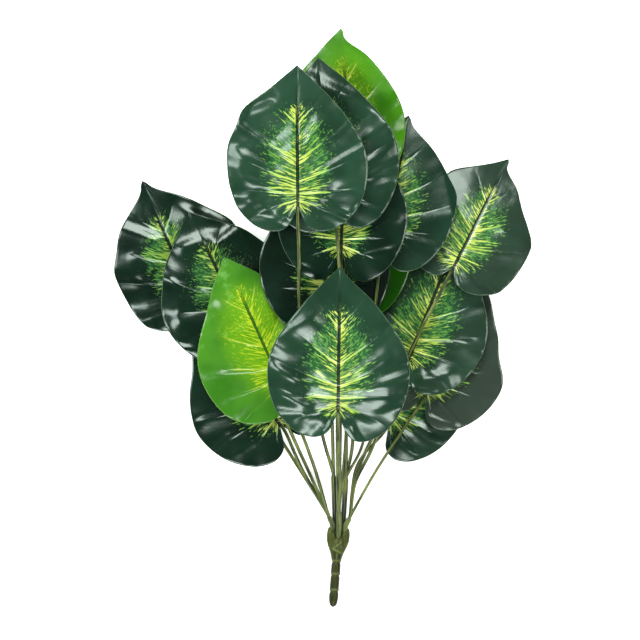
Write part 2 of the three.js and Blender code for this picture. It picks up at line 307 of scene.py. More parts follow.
# %% [markdown]
# ## The leaves of this bunch
#
# One mould presses all leaves: a heart with a stalk notch, two lobes, round shoulders and a
# drawn-out tip. They differ in size, in how the plastic has bent and in how they lie. For each
# the table gives its stalk notch (base) and its tip, the half widths left and right, the roll in
# degrees, and its folds: the rise beside the midrib, the droop to the edge, the arch of its length
# and the drop of its lobes. Then come the height and the turn of the edge waves, the route of its
# stem, and how its outline departs from the mould's: how far each edge stands out at the side, at
# the shoulder and beside the tip, and how long its two lobes are. Last come its cast, the light
# painted on it: how pale, lighter for the sheen it catches and darker for the shade it lies in,
# and how warm, for a painted sheen, and on the light leaves also a milkier ground and a yellower
# print, each 0 to 1. Then come the strength of its dents, and how faded its print is.

# %% Write down the leaves, in millimetres
EVEN = ((0, 0, 0), (0, 0, 0))


class Leaf(NamedTuple):
    base: tuple
    tip: tuple
    halves: tuple
    roll: float
    folds: tuple
    waves: tuple
    via: list
    edges: tuple = EVEN
    lobe: tuple = (1, 1)
    light: bool = False
    stem: float = 3
    # how pale and how warm: painted sheen and shade
    cast: tuple = (0.5, 0)
    dents: float = 1
    faded: float = 0


LEAVES = {
    1: Leaf((-21.5, 90.5, 86), (-22, 206, 92), (58, 58), 2, (3, 5, 3, 2), (1.6, 0.4),
            [(-1, -99, 28), (-20, 10.5, 58), (-20.5, 47, 71)], ((4, 10, 1), (0, 1, 0)), (0.82, 0.82),
            cast=(1, 0), dents=0.9),
    2: Leaf((7.5, 96.5, 76), (-5, 213.5, 75), (58, 58), -1, (3, 5, 2, 2), (1.5, 2.1),
            [(13.5, -93.5, 40), (12.5, 44, 68)], cast=(0.75, 0)),
    3: Leaf((23, 130, 56.5), (14, 239.5, 50), (52.5, 47), 0, (1, 4, 2, 2), (2.0, 1.2),
            [(18.5, -79, 26), (17.5, -6.5, 42), (19, 50, 52.5)], ((0, 4.5, 1.5), (-1, -0.5, -5.5)),
            light=True, cast=(1, 0), dents=0.5),
    4: Leaf((50.5, 64, 47.5), (70.5, 168.5, 31), (52, 53), 0, (1, 3, 1, 1), (1.4, 3.3),
            [(32.5, -105, 20), (42.5, 9, 42.5), (46, 40, 45.5)], ((0, 0, 0), (3.5, 1.5, -3.5)),
            stem=2.5, dents=0.38),
    5: Leaf((14, 54, 64), (17.5, 165, 65), (54.5, 54.5), 0, (2, 4, 1, 2), (1.2, 0.9),
            [(18.5, -96, 34), (15.5, 14.5, 56)], cast=(0.1, 0), dents=0.35),
    6: Leaf((1.5, 13, 36), (-1.5, 125, 35), (55, 55), 0, (1, 3, 1, 1), (1.2, 2.8),
            [(6.5, -78.5, 32), (4, -27, 35)], cast=(0, 0), dents=0.5),
    7: Leaf((-32.5, -62, 31), (-83.5, 50.5, 27), (60, 52), -2.5, (2, 4, 2, 1), (1.6, 1.7),
            [(-7.5, -127, 20), (-19.5, -94, 26.5)], ((0, -2, 0), (0, 0, 0)), (0.66, 0.75), light=True,
            cast=(1, 0.6), dents=0.9),
    8: Leaf((-107.5, 10.5, 8), (-153, 115, 3), (53, 57), 2, (1, 4, 1, 1), (1.6, 2.4),
            [(-20, -128, 8), (-52, -77.5, 5), (-88, -20, 4.5)], ((4.5, 5, -3.5), (4.5, 1.5, -3)),
            (0.55, 0.85), cast=(0, 0), dents=0.6, faded=0.6),
    9: Leaf((11.5, -77.5, 70), (13, 41.5, 84), (59, 59), 0, (4, 7, 3, 3), (2.0, 0.2),
            [(11.5, -112, 47)], ((0, 0, 0), (0, 0, -2)), (0.84, 1), stem=3.8, cast=(0.9, 0), dents=0.88),
    10: Leaf((-65, -8, 21), (-114, 88.5, 13), (60, 54), -3, (2, 4, 1, 1), (1.7, 0.7),
             [(-13.5, -127.5, 15), (-30, -90.5, 18.5), (-52, -35.5, 19)], ((0, 3, 0), (0, 3, 0)),
             cast=(0.1, 0), dents=0.5, faded=0.5),
    11: Leaf((108, 42, 33), (155.5, 133.5, 1), (51, 51), 0, (1, 3, 2, 1), (1.6, 3.9),
             [(26, -139, 15.5), (39.5, -111, 19), (72, -28, 27.5), (96, 18.5, 30.5)],
             ((0.5, 8.5, 0), (3.5, -3, -6)), (0.62, 0.62), cast=(0.7, 0.4), dents=0.7),
    12: Leaf((70, -37, 21.5), (113, 70, 15), (56, 56), 2, (1, 3, 1, 1), (1.2, 1.4),
             [(25, -139, 13), (35.5, -111, 16), (58, -66, 18.5)], lobe=(0.85, 0.85),
             cast=(0.9, 0.2), dents=0.8),
    13: Leaf((18.5, 24.5, 24.5), (18.5, 137.5, 21), (55, 55), 0, (1, 3, 1, 0), (1.2, 0),
             [(24, -105, 16), (20, -10.5, 23.5)], light=True, cast=(0, 0), dents=0.4),
    14: Leaf((85.5, -63.5, 13.6), (130.5, 38, 8.5), (55, 57.5), 1, (1, 3, 1, 1), (1.2, 2.2),
             [(44, -128, 12), (69, -90, 11)], ((0, 0, 0), (-7.5, -4, 0)), stem=2.5,
             cast=(0.6, 0.9), dents=0.6),
    15: Leaf((54.5, -90.5, 6.7), (112, 5, 3), (52, 52), -2.5, (1, 2.5, 1, 1), (1, 0.5),
             [(28, -124, 6)], lobe=(1, 0.93), stem=2.5, cast=(0.6, 0.1)),
    16: Leaf((-37.5, -89, 13), (-106.5, 2.5, 13), (61, 50), 0, (1, 4, 1, 1), (1.2, 1.9),
             [(-19, -126, 12)], ((-2, -4.5, 0), (0, 0, 0)), (0.95, 0.9), cast=(0.1, 0), dents=0.3),
}
print(sum(leaf.light for leaf in LEAVES.values()), "of", len(LEAVES), "leaves are light green")

# %% [markdown]
# ## Their folds
#
# Leaves that were packed flat keep folds. Each is a low ridge, steep on the left of its way and
# gentle on its right, or a furrow the other way round, and the steep side is what shines. A fold is
# written down in its leaf's own directions, across and along, so it goes with the leaf.

# %% Write down their folds, and find out how each leaf lies
RIDGES = {  # across and along at its start, the same at its end, width, height, in millimetres
    1: [(-57, 83, -3, 48, 8.5, -6.1), (-56, 59, -6, 27, 5.5, -3.8), (-51, 33, -3, 13, 4.9, -3.3),
        (-76, 8, 14, 9, 4.9, -3.3), (0, 49, 15, 80, 3.6, -2.1), (-11, 19, 86, 74, 4.7, -3.1),
        (17, 12, 50, -11, 5.7, -4), (-41, 7, 7, -15, 5.7, -4), (-55, -15, -62, 79, 10.4, -4.4),
        (-48, 80, -15, 92, 5.2, -2.5)],
    2: [(-30, 112, 38, 71, 6, 3.4), (23, 83, 61, 49, 3.2, 1.5), (18, 40, 85, 75, 3.6, 1.9),
        (21, 13, 76, 31, 3.5, 1.5)],
    3: [(-44, 87, -28, 63, 3.5, 1.6)],
    4: [(3, 5, 56, 3, 3, 1.5), (32, 79, 57, 15, 4.5, 1.8)],
    5: [(8, 10, 53, 32, 2, 1), (10, -4, 52, 6, 2, 0.9), (-45, -7, -13, -22, 3.5, 1.6)],
    7: [(-25, 96, -18, 65, 3.5, 1.2), (-53, 39, -2, 19, 1.5, 0.7), (-57, 13, -11, 10, 1.5, 0.7)],
    8: [(-46, 97, 2, 51, 6, 2.9), (-36, 63, -13, 40, 2.4, 1.2), (-42, 43, -8, 20, 2.8, 1.4),
        (14, 86, 59, 37, 5.5, 2.6), (-66, 7, -11, 3, 4, 1.9)],
    9: [(-88, 57, -16, 30, 9.5, 6.2), (-58, 41, -24, 19, 5, 3.2), (-56, 18, -18, 0, 4, 2.6),
        (-69, 0, -3, -6, 4, 2), (11, 13, 109, 46, 7, 4.6), (15, 28, 45, 49, 2.4, 1.3),
        (24, -5, 93, 16, 5, 3), (-14, -24, 4, -5, 4, 2.3), (8, -4, 20, -32, 3, 1.6),
        (-55, 57, -14, 84, 5, 2.1)],
    10: [(-29, 85, 20, 79, 5, 2.4), (-4, 69, 43, 80, 5, 2.4), (-57, 82, -10, 28, 3.4, 1.7),
        (-52, 10, -30, 84, 6.5, 2.3), (-71, 20, -34, -8, 2.8, 1.3)],
    11: [(9, 49, 77, 44, 4.5, 1.6), (-30, 14, 6, 6, 1.8, 0.7)],
    12: [(19, 31, 92, 31, 5.5, 2.9), (9, -18, 45, 9, 6.5, 3.5), (0, -22, 40, -15, 3.9, 1.9)],
    14: [(7, -1, 40, -14, 2.2, 1.1), (2, -18, 38, -17, 3.8, 1.9)],
    15: [(7, -11, 40, -9, 3, 1.5), (5, 33, 35, 12, 3, 1.3)],
    16: [(-61, 45, -17, 28, 3.4, 1.7), (-46, 20, -19, 12, 2, 1), (-53, 3, -16, -1, 1.5, 0.7)],
}
SHIFT = Vector((1.47, 1.75, 0)) * MM  # from the table's origin to the middle of the bunch


def blade_axes(leaf):
    """Where a blade's stalk notch is, and its directions across, along and out of its face."""
    base = Vector(leaf.base) * MM + SHIFT
    along = Vector(leaf.tip) * MM + SHIFT - base
    length = along.length
    along.normalize()
    across = Vector((along.y, -along.x, 0)).normalized()
    across = Matrix.Rotation(-math.radians(leaf.roll), 3, along) @ across
    return base, across, along, across.cross(along), length


lengths = [round(blade_axes(leaf)[4] / MM) for leaf in LEAVES.values()]
print("leaves are", min(lengths), "to", max(lengths), "mm long")

# %% [markdown]
# ## The outline of a leaf
#
# Half of the outline is a smooth curve through fifteen points, in fractions of the leaf's length,
# from the notch round the lobe and the shoulder to the tip. A point of it is found by its share of
# the way round, so that the side veins, which end at even shares, are spread evenly.

# %% Draw half of the outline
OUTLINE_POINTS = np.array([
    (0, 0), (0.03, -0.08), (0.07, -0.165), (0.13, -0.205), (0.21, -0.21), (0.32, -0.155),
    (0.425, -0.03), (0.49, 0.12), (0.51, 0.29), (0.475, 0.44), (0.395, 0.575), (0.285, 0.715),
    (0.175, 0.835), (0.08, 0.925), (0, 1),
])
SPLINE_STEPS = 60  # from one point to the next


def curve_point(start, end, leave, arrive, share):
    """The place at a share of the way along a curve with the given directions at its ends."""
    cubic = (2 * start - 2 * end + leave + arrive) * share**3
    square = (3 * end - 3 * start - 2 * leave - arrive) * share**2
    return cubic + square + leave * share + start


def smooth_outline(points):
    """A curve that passes through the points and bends evenly at each."""
    padded = np.vstack([points[:1], points, points[-1:]])
    shares = np.linspace(0, 1, SPLINE_STEPS, endpoint=False)[:, None]
    pieces = [
        curve_point(start, end, (end - before) / 2, (after - start) / 2, shares)
        for before, start, end, after in zip(padded, padded[1:], padded[2:], padded[3:])
    ]
    return np.vstack([*pieces, points[-1:]])


outline = smooth_outline(OUTLINE_POINTS)
walked = np.insert(np.cumsum(np.linalg.norm(np.diff(outline, axis=0), axis=1)), 0, 0)
PERIMETER = float(walked[-1])  # of half the outline, in leaf lengths


def outline_at(share):
    """The outline's points across and along at shares of the way from notch to tip."""
    return [np.interp(np.asarray(share) * PERIMETER, walked, outline[:, i]) for i in (0, 1)]


print("half an outline is", round(PERIMETER, 2), "leaf lengths long")

# %% [markdown]
# ## One flat pattern for all blades
#
# A blade is a closed sheet: a face, a back and a rounded rim. A grid follows the leaf's own lines,
# with rows along the side veins and columns from midrib to edge, because creases that lie on mesh
# lines stay crisp. The rows crowd at the veins, where the form turns sharply. The grid is flat at
# first, and each point only knows its place: its share of the way toward the tip and toward the
# edge, its depth, and the outline's point that its row ends at. The node tree does the rest.

# %% Space its rows and columns
PANELS = 7  # panels between the side veins of one half
PANEL_ROWS = 16
COLUMNS = 34
ROW_CROWDING = 0.8  # how far the rows crowd at the veins, below 1
COLUMN_CROWDING = 0.9  # below 1, the columns crowd at the edge
RIM_START = 0.992  # the last column before the rounded rim

steps = np.arange(PANELS * PANEL_ROWS + 1) / PANEL_ROWS
row_places = (steps - ROW_CROWDING * np.sin(2 * np.pi * steps) / (2 * np.pi)) / PANELS
column_places = np.append(np.linspace(0, 1, COLUMNS) ** COLUMN_CROWDING * RIM_START, 1)
row_across, row_along = outline_at(row_places)
print(len(row_places), "rows, and", len(column_places), "columns on each half")

# %% [markdown]
# ## Points and faces
#
# Both halves share the points of the midrib, and the first and the last row draw together in one
# point each. So a point is looked up by its place and is made only the first time. That closes the
# sheet without merging anything afterwards.

# %% Build the flat pattern
RIM_MIDDLE = 0.5  # the depth at which the rim stands out farthest
PATTERN_DEPTH = 0.01  # keeps face and back apart until the tree places them
FACE, BACK, RIM = 0, 1, 2
POINT_VALUES = ("toward_tip", "toward_edge", "depth", "edge_across", "edge_along")


def flat_pattern():
    """The grid as a mesh, with each point's place as attributes."""
    index, points, faces, parts = {}, [], [], []

    def place(side, row, column, depth):
        ends = row in (0, len(row_places) - 1)
        key = (row, 0 if ends else side * column, depth)
        if key not in index:
            index[key] = len(points)
            run = 0 if ends else side * column_places[column]
            points.append((row_places[row], run, depth, row_across[row], row_along[row]))
        return index[key]

    def add(part, turned, corners):
        corners = list(dict.fromkeys(corners))
        if len(corners) > 2:
            faces.append(corners[::-1] if turned else corners)
            parts.append(part)

    outer = {0: COLUMNS - 1, RIM_MIDDLE: COLUMNS, 1: COLUMNS - 1}
    for side in (1, -1):
        for row in range(len(row_places) - 1):
            square = [(row, 0), (row, 1), (row + 1, 1), (row + 1, 0)]
            for column in range(COLUMNS - 1):
                for part, depth in ((FACE, 0), (BACK, 1)):
                    corners = [place(side, r, column + c, depth) for r, c in square]
                    add(part, (side < 0) != (part == BACK), corners)
            for upper, lower in ((0, RIM_MIDDLE), (RIM_MIDDLE, 1)):
                corners = [(row, upper), (row, lower), (row + 1, lower), (row + 1, upper)]
                add(RIM, side < 0, [place(side, r, outer[depth], depth) for r, depth in corners])
    mesh = bpy.data.meshes.new("flat pattern")
    values = np.array(points)
    mesh.from_pydata(values[:, [1, 0, 2]] * (1, 1, -PATTERN_DEPTH), [], faces)
    for name, column in zip(POINT_VALUES, values.T):
        attribute = mesh.attributes.new(name, "FLOAT", "POINT")
        attribute.data.foreach_set("value", column.copy())
    mesh.attributes.new("part", "INT", "FACE").data.foreach_set("value", parts)
    mesh.polygons.foreach_set("use_smooth", [True] * len(faces))
    return mesh


pattern = flat_pattern()
print("the pattern has", len(pattern.vertices), "points and", len(pattern.polygons), "faces")

# %% [markdown]
# ## Trees with named inputs
#
# A tree in Geometry Nodes takes its sizes as inputs, so that one tree serves many pieces. These
# helpers open a tree with a plain list of inputs and end it in real geometry, because instances
# would be lost on the way out of Blender.

# %% Open and close Geometry Nodes trees
KINDS = {
    "number": "NodeSocketFloat",
    "vector": "NodeSocketVector",
    "material": "NodeSocketMaterial",
    "whole": "NodeSocketInt",
}


def open_tree(name, **inputs):
    """A new tree, its wiring, its geometry input and its other inputs by name."""
    tree = bpy.data.node_groups.new(name, "GeometryNodeTree")
    kinds = {label: KINDS[kind] for kind, labels in inputs.items() for label in labels}
    for label, kind in {"Geometry": "NodeSocketGeometry", **kinds}.items():
        tree.interface.new_socket(label, in_out="INPUT", socket_type=kind)
    tree.interface.new_socket("Geometry", in_out="OUTPUT", socket_type="NodeSocketGeometry")
    entry = tree.nodes.new("NodeGroupInput")
    fields = {label: Field(tree, entry.outputs[label]) for label in kinds}
    return tree, Wiring(tree), Field(tree, entry.outputs["Geometry"]), fields


def close_tree(wiring, geometry):
    """Ends a tree in real geometry."""
    real = wiring.made("GeometryNodeRealizeInstances", {"Geometry": geometry})
    wiring.node("NodeGroupOutput", {"Geometry": real})


print("trees take", ", ".join(KINDS), "inputs")

# %% [markdown]
# ## From a tree to a plain mesh
#
# A modifier knows an input of its tree by an identifier, not by its name. These helpers fill the
# inputs in by name for one piece, and turn what the tree made into a plain mesh, so that nothing
# has to be computed again later.

# %% Fill in a tree, and settle what it makes
def dress(name, data, tree, values):
    """An object with the tree as its modifier and the tree's inputs filled in."""
    piece = add_object(name, data)
    modifier = piece.modifiers.new(tree.name, "NODES")
    modifier.node_group = tree
    entries = [item for item in tree.interface.items_tree if item.in_out == "INPUT"]
    sockets = {item.name: item.identifier for item in entries}
    for label, value in values.items():
        modifier[sockets[label]] = value
    return piece


def settle(pieces):
    """Turns what the modifiers made into plain meshes."""
    depsgraph = bpy.context.evaluated_depsgraph_get()
    meshes = [
        bpy.data.meshes.new_from_object(piece.evaluated_get(depsgraph), depsgraph=depsgraph)
        for piece in pieces
    ]
    settled = []
    for piece, mesh in zip(pieces, meshes):
        name = piece.name
        bpy.data.objects.remove(piece)
        mesh.name = name
        settled.append(add_object(name, mesh))
    return settled


def face_count(piece):
    """Triangles in a piece."""
    return sum(len(polygon.vertices) - 2 for polygon in piece.data.polygons)


print("the table has", face_count(table), "triangles")

# %% [markdown]
# ## The form of a blade
#
# The press gives a blade its heart outline, a groove along the midrib, a crease along each side
# vein, panels that swell between the creases, and raised ribs on the back. Packing and handling
# add the rest: waves along the edge, folds, dents, and fine wrinkles that run with the veins. All
# of it is a formula of a point's place in the pattern, so one tree makes all sixteen blades, and
# the named inputs make them differ. In the formulas t is a point's share of the way round the
# outline to the tip, and s its share of the way out from the midrib.

# %% Open the blade's tree
MOST_RIDGES = max(len(rows) for rows in RIDGES.values())

blade_tree, w, grid, leaf_input = open_tree(
    "Leaf blade",
    number=[
        "Length", "Left half", "Right half", "Left lobe", "Right lobe", "Rise", "Droop", "Arch",
        "Lobe drop", "Wave", "Wave turn", "Dents", "Seed",
    ],
    vector=[
        "Left edge", "Right edge", "Base", "Across", "Along", "Out", "Cast",
        *[f"Ridge {number} {end}" for number in range(MOST_RIDGES) for end in ("start", "end")],
    ],
    material=["Face", "Back", "Rim"],
)


def place_of(name, kind="FLOAT"):
    return w.made("GeometryNodeInputNamedAttribute", {"Name": name}, data_type=kind)


t = place_of("toward_tip")
run = place_of("toward_edge")
s = run.size()
right = run.above(0.0)
side = right * 2.0 - 1.0
depth = place_of("depth")
edge_across = place_of("edge_across")
edge_along = place_of("edge_along")
length = leaf_input["Length"]
seed = leaf_input["Seed"]


def either(label):
    """The left or the right input of a pair, by the point's half."""
    left_value = leaf_input["Left " + label]
    return left_value + (leaf_input["Right " + label] - left_value) * right


print("the blade's tree has", len(leaf_input), "inputs")

# %% [markdown]
# ## From the pattern to the heart
#
# A side vein leaves the midrib slowly and bends out to its place on the edge, so each row of the
# pattern is bent along such a curve. That gives a point's distances across and along, in metres,
# and u and v, which are the same in half widths and in leaf lengths.

# %% Find where the point lies in the plane of the blade
EVEN_ROOTS = 0.15  # the share of a vein's place on the midrib that follows its place on the edge
VEIN_BEND = (0.55, 0.42)  # where a side vein bends, as shares of its run across and along
EDGE_STATIONS = ((0.48, 0.13), (0.7, 0.12), (0.9, 0.08))  # side, shoulder, tip: middle and reach
TIP_RUN = 0.06  # over which a change of the edge fades out at the tip
TRIM = 0.992  # the smooth outline bows out between the solid model's corners, so it is set back

HALF_WIDTH = float(OUTLINE_POINTS[:, 0].max())  # of the outline, in leaf lengths
half = either("half")
fade = ((1.0 - edge_along) / TIP_RUN).at_most(1.0)
left_changes = w.parts(leaf_input["Left edge"])
right_changes = w.parts(leaf_input["Right edge"])
end_across = edge_across * half * (TRIM / HALF_WIDTH)
for (middle, stretch), on_left, on_right in zip(EDGE_STATIONS, left_changes, right_changes):
    change = on_left + (on_right - on_left) * right
    end_across += change * fade * (edge_along - middle).bell(stretch)
lobe_stretch = 1.0 + (either("lobe") - 1.0) * (-edge_along).above(0.0)
end_along = edge_along * length * lobe_stretch
root = (t * EVEN_ROOTS + t**4.0 * (1 - EVEN_ROOTS)) * length
bend_across = end_across * VEIN_BEND[0]
bend_along = root + (end_along - root) * VEIN_BEND[1]
middle_share = s * (1.0 - s) * 2.0
across = middle_share * bend_across + s * s * end_across
along = (1.0 - s) ** 2.0 * root + middle_share * bend_along + s * s * end_along
u = across / half
v = along / length
print(len(blade_tree.nodes), "nodes so far")

# %% [markdown]
# ## The large bends
#
# Height is added up next. First come the bends that were read off the solid model: the halves rise
# beside the midrib and droop to the edge, the blade arches, its lobes hang, and its edge waves.
# Smaller waves are added between those, most of all on the lobes.

# %% Fold, arch and wave the blade
LOBE_LENGTH = 0.2  # behind the notch, in leaf lengths
EDGE_WAVES = 3  # on each half
RIPPLES = 8  # smaller waves between them
RIPPLE_SHIFT = 14.0  # how far a ripple may be out of its turn

height = leaf_input["Rise"] * u - leaf_input["Droop"] * u * u
on_blade = v.above(0.0)
height += leaf_input["Arch"] * v * (1.0 - v) * on_blade * 4.0
lobe_share = v / LOBE_LENGTH
height -= leaf_input["Lobe drop"] * lobe_share * lobe_share * (1.0 - on_blade)

taper = (t * math.pi).sin()
long_wave = (t * (2 * math.pi * EDGE_WAVES) + leaf_input["Wave turn"] + side).sin()
height += leaf_input["Wave"] * s * s * long_wave * taper
ripple_turn = w.noise(w.point(t * 4.0, side * 3.0, seed), detail=0.0) * RIPPLE_SHIFT
ripple = (t * (2 * math.pi * RIPPLES) + ripple_turn).sin()
on_lobe = t.ramp(0.5, 0.2)
height += leaf_input["Wave"] * (on_lobe * 0.4 + 0.25) * s**4.0 * ripple * taper
print(len(blade_tree.nodes), "nodes so far")

# %% [markdown]
# ## The panels
#
# A vein is stiffer than the sheet beside it, so the sheet stands up between two veins. No two of
# these panels swell alike: a noise that changes slowly from one to the next sets how full each is.

# %% Swell the panels between the side veins, each to its own height
PANEL_SWELL = 4.62  # between two side veins
FULL_BELOW = 1.5  # above 1, a panel is fullest near its upper vein

panel_place = t * PANELS
panel = panel_place.whole()
in_panel = panel_place - panel
fullness = w.noise(w.point(panel_place * 0.9, side * 5.0, seed), detail=0.0).ramp(0.3, 0.7)
arched = (in_panel**FULL_BELOW * math.pi).sin() - 0.4
swell = arched * (fullness * 1.7 + 0.5) * leaf_input["Dents"] ** 2.0
height += swell * s**1.3 * (1.05 - s) * taper * (PANEL_SWELL * MM)
print(len(blade_tree.nodes), "nodes so far")

# %% [markdown]
# ## The folds from packing
#
# A fold is a bell over the distance from its line, wider on its gentle side, and it fades out at
# its two ends. The inputs hold as many folds as the most creased leaf has. The others leave some at
# height 0.

# %% Add the folds from packing
GENTLE_SIDE = 2.3  # how wide a fold's gentle side is, its steep side being 1

for number in range(MOST_RIDGES):
    start_across, start_along, ridge_height = w.parts(leaf_input[f"Ridge {number} start"])
    stop_across, stop_along, ridge_width = w.parts(leaf_input[f"Ridge {number} end"])
    way_across = stop_across - start_across
    way_along = stop_along - start_along
    off_across = across * side - start_across
    off_along = along - start_along
    way = way_across * way_across + way_along * way_along
    done = (off_across * way_across + off_along * way_along) / way
    aside = (way_across * off_along - way_along * off_across) / way**0.5
    steep = (aside * ridge_height).above(0.0)
    spread = ridge_width * (GENTLE_SIDE - steep * (GENTLE_SIDE - 1))
    height += ridge_height * aside.bell(spread) * done.ramp(0.0, 0.3) * done.ramp(1.0, 0.7)
print(len(blade_tree.nodes), "nodes so far")

# %% [markdown]
# ## The veins
#
# The mould presses a groove along the midrib and a fine crease along each side vein. The groove is
# a little uneven, as the real one is, and both run out before the tip and the edge.

# %% Press the veins
GROOVE_WIDTH = 1.3  # of the midrib
CREASE_WIDTH = 0.5  # of a side vein

to_vein = (panel_place - (panel_place + 0.5).whole()) / PANELS
root_spread = (t**3.0 * (4 * (1 - EVEN_ROOTS)) + EVEN_ROOTS) * (1.0 - s)
off_vein = to_vein.size() * (s * PERIMETER + root_spread) * length  # to the nearest vein, in metres
is_vein = taper.ramp(0.05, 0.3) * s.ramp(0.0, 0.06) * s.ramp(0.8, 0.5)
crease = off_vein.bell(CREASE_WIDTH * MM) * is_vein
knots = w.noise(w.point(v * 40.0, seed), detail=1.0)
groove = across.bell(GROOVE_WIDTH * MM) * v.ramp(0.9, 0.5) * (knots * 0.6 + 0.7)
print(len(blade_tree.nodes), "nodes so far")

# %% [markdown]
# ## Dents and wrinkles
#
# Thin plastic never lies quite smooth, and it is these last tenths of a millimetre that make its
# gloss look real. Three sizes of noise dent the sheet, and a noise drawn out along the veins
# wrinkles it. The midrib keeps calm, because it is stiff.

# %% Dent the blade, and wrinkle it along the veins
DENTS = ((24.0, 0.0, 0.54), (75.0, 1.0, 0.5), (190.0, 1.0, 0.5))  # count a metre, detail, middle
DENT_DEPTH = 3.4  # from the highest to the lowest that a noise could make it, as below
SMALL_DENT_DEPTH = 0.9
CRINKLE_DEPTH = 0.5
WRINKLE_DEPTH = 0.6
CRINKLED_AREAS = 26.0  # a metre

flat_point = w.point(across * side, along, seed * 0.37)
dent, small_dent, crinkle = [
    w.noise(flat_point, count, detail) - middle for count, detail, middle in DENTS
]
streak_place = w.point(t * 40.0 + root / length * 14.0, s * 3.0, seed + side * 2.0)
wrinkle = w.noise(streak_place, detail=1.0) - 0.5
calm = s.ramp(0.0, 0.3)
low_down = v.ramp(0.95, 0.6) * 0.65 + 0.35
crinkled = w.noise(flat_point, CRINKLED_AREAS, 0.0).ramp(0.55, 0.68)
rough_ground = dent * DENT_DEPTH + small_dent * SMALL_DENT_DEPTH + crinkle * crinkled * CRINKLE_DEPTH
rough_ground = rough_ground * calm * low_down + wrinkle * calm * WRINKLE_DEPTH
height += rough_ground * leaf_input["Dents"] * MM
print(len(blade_tree.nodes), "nodes so far")

# %% [markdown]
# ## Face and back
#
# The veins are pressed into the face only. The back follows the sheet, with a moulded rib under
# the midrib and finer ones under the side veins. The depth that each point has in the pattern then
# says whether it belongs to the face, the back or the rim between them.

# %% Give the blade two sides
BLADE_THICKNESS = 0.8
GROOVE_DEPTH = 0.6  # the midrib pressed into the face
CREASE_DEPTH = 0.25  # a side vein pressed into it
RIB_DEPTH = 1.2  # the moulded rib under the midrib
RIB_WIDTH = 1.6
VEIN_RIB_DEPTH = 0.3
VEIN_RIB_WIDTH = 0.8

face_height = height - crease * (CREASE_DEPTH * MM) - groove * (GROOVE_DEPTH * MM)
rib = across.bell(RIB_WIDTH * MM) * (1.0 - v).at_least(0.0) * (RIB_DEPTH * MM)
vein_rib = off_vein.bell(VEIN_RIB_WIDTH * MM) * is_vein * (VEIN_RIB_DEPTH * MM)
back_height = height - BLADE_THICKNESS * MM - rib - vein_rib
level = face_height + (back_height - face_height) * depth
print(len(blade_tree.nodes), "nodes so far")

# %% [markdown]
# ## The place in the scene
#
# So far the blade lies at the origin. Its base and its three directions put it in its place, which
# leaves the object itself at the origin. No point may leave the box of the solid model, so each is
# held inside it.

# %% Put the blade in its place
BOX_GAP = 0.05  # kept from the solid model's box

free_place = leaf_input["Base"]
for label, amount in {"Across": across * side, "Along": along, "Out": level}.items():
    inputs = {"Vector": leaf_input[label], "Scale": amount}
    step = w.made("ShaderNodeVectorMath", inputs, operation="SCALE")
    free_place = w.made("ShaderNodeVectorMath", {0: free_place, 1: step}, operation="ADD")
low = [float(value) + BOX_GAP * MM for value in solid_low]
high = [float(value) - BOX_GAP * MM for value in solid_high]
x, y, z = w.parts(free_place)
lowest = (1.0 - depth) * (BLADE_THICKNESS * MM) + low[2]
highest = high[2] - depth * (BLADE_THICKNESS * MM)
held_place = w.point(
    x.at_least(low[0]).at_most(high[0]),
    y.at_least(low[1]).at_most(high[1]),
    z.at_least(lowest).at_most(highest),
)
bent = w.made("GeometryNodeSetPosition", {"Geometry": grid, "Position": held_place})
print("blades have", round((high[2] - low[2]) / MM, 1), "mm of height to lie in")

# %% [markdown]
# ## What the print needs
#
# The print of a leaf follows its veins, not the table. So the tree stores each point's own
# coordinates on it, for the materials to read, and gives face, back and rim their own material.

# %% Keep each point's own coordinates, and give each side its finish
prints = {
    "spot": w.point(across * side, along, seed),
    "vein": w.point(panel_place, run, off_vein),
    "reach": w.point(u * side, v, root / length),
    # painted light and sheen of the leaf, and how faded its print is
    "cast": leaf_input["Cast"],
}
for label, value in prints.items():
    bent = w.store(bent, label, value)
part_number = place_of("part", "INT")
for number, label in ((FACE, "Face"), (BACK, "Back"), (RIM, "Rim")):
    chosen = (part_number - float(number)).size().below(0.5)
    inputs = {"Geometry": bent, "Selection": chosen, "Material": leaf_input[label]}
    bent = w.made("GeometryNodeSetMaterial", inputs)
close_tree(w, bent)
print("the blade's tree has", len(blade_tree.nodes), "nodes")

# %% [markdown]
# ## The print on a dark leaf
#
# Dark leaves are printed on deep green plastic: yellow-green strokes that start at the midrib and
# thin out along the side veins, a brighter green glow behind them, and fine speckles where they
# end. The print reads the blade's own coordinates, which the tree above stored, so each stroke
# follows the veins of its leaf however that leaf is bent. A noise that is short across the veins
# and long along them makes the strokes, so that no two leaves are alike.

# %% Write what the finishes share
def finish(name, recipe):
    """A material whose recipe gives the shader's sockets."""
    material = bpy.data.materials.new(name)
    material.use_nodes = True
    wiring = Wiring(material.node_tree)
    shader = material.node_tree.nodes["Principled BSDF"]
    for socket, value in recipe(wiring).items():
        plug(wiring.tree, shader.inputs[socket], value)
    return material


def bumps(w, height, distance):
    """Fine relief for the shader, the distance in millimetres."""
    return w.made("ShaderNodeBump", {"Height": height, "Distance": distance * MM, "Strength": 1.0})


def oval_at(u, v, half_width, middle, half_height):
    """0 in the middle of an oval on the blade, 1 on its line and more beyond."""
    wide = u / half_width
    tall = (v - middle) / half_height
    return wide * wide + tall * tall


def strokes(w, seed, place, run, root):
    """Streaks along the veins, about 2 mm from one to the next and a few times as long."""
    turn = run.above(0.0) * 3.7 + seed
    return w.noise(w.point(place * 8.0 + root * 62.0, run.size() * 5.5, turn))


def speckles(w, seed, place, s, root):
    """Specks along the veins, about as long as they are wide."""
    return w.noise(w.point(place * 7.0 + root * 50.0, s * 17.0, seed + 11.0), roughness=0.6)


print("prints are made of strokes and speckles")
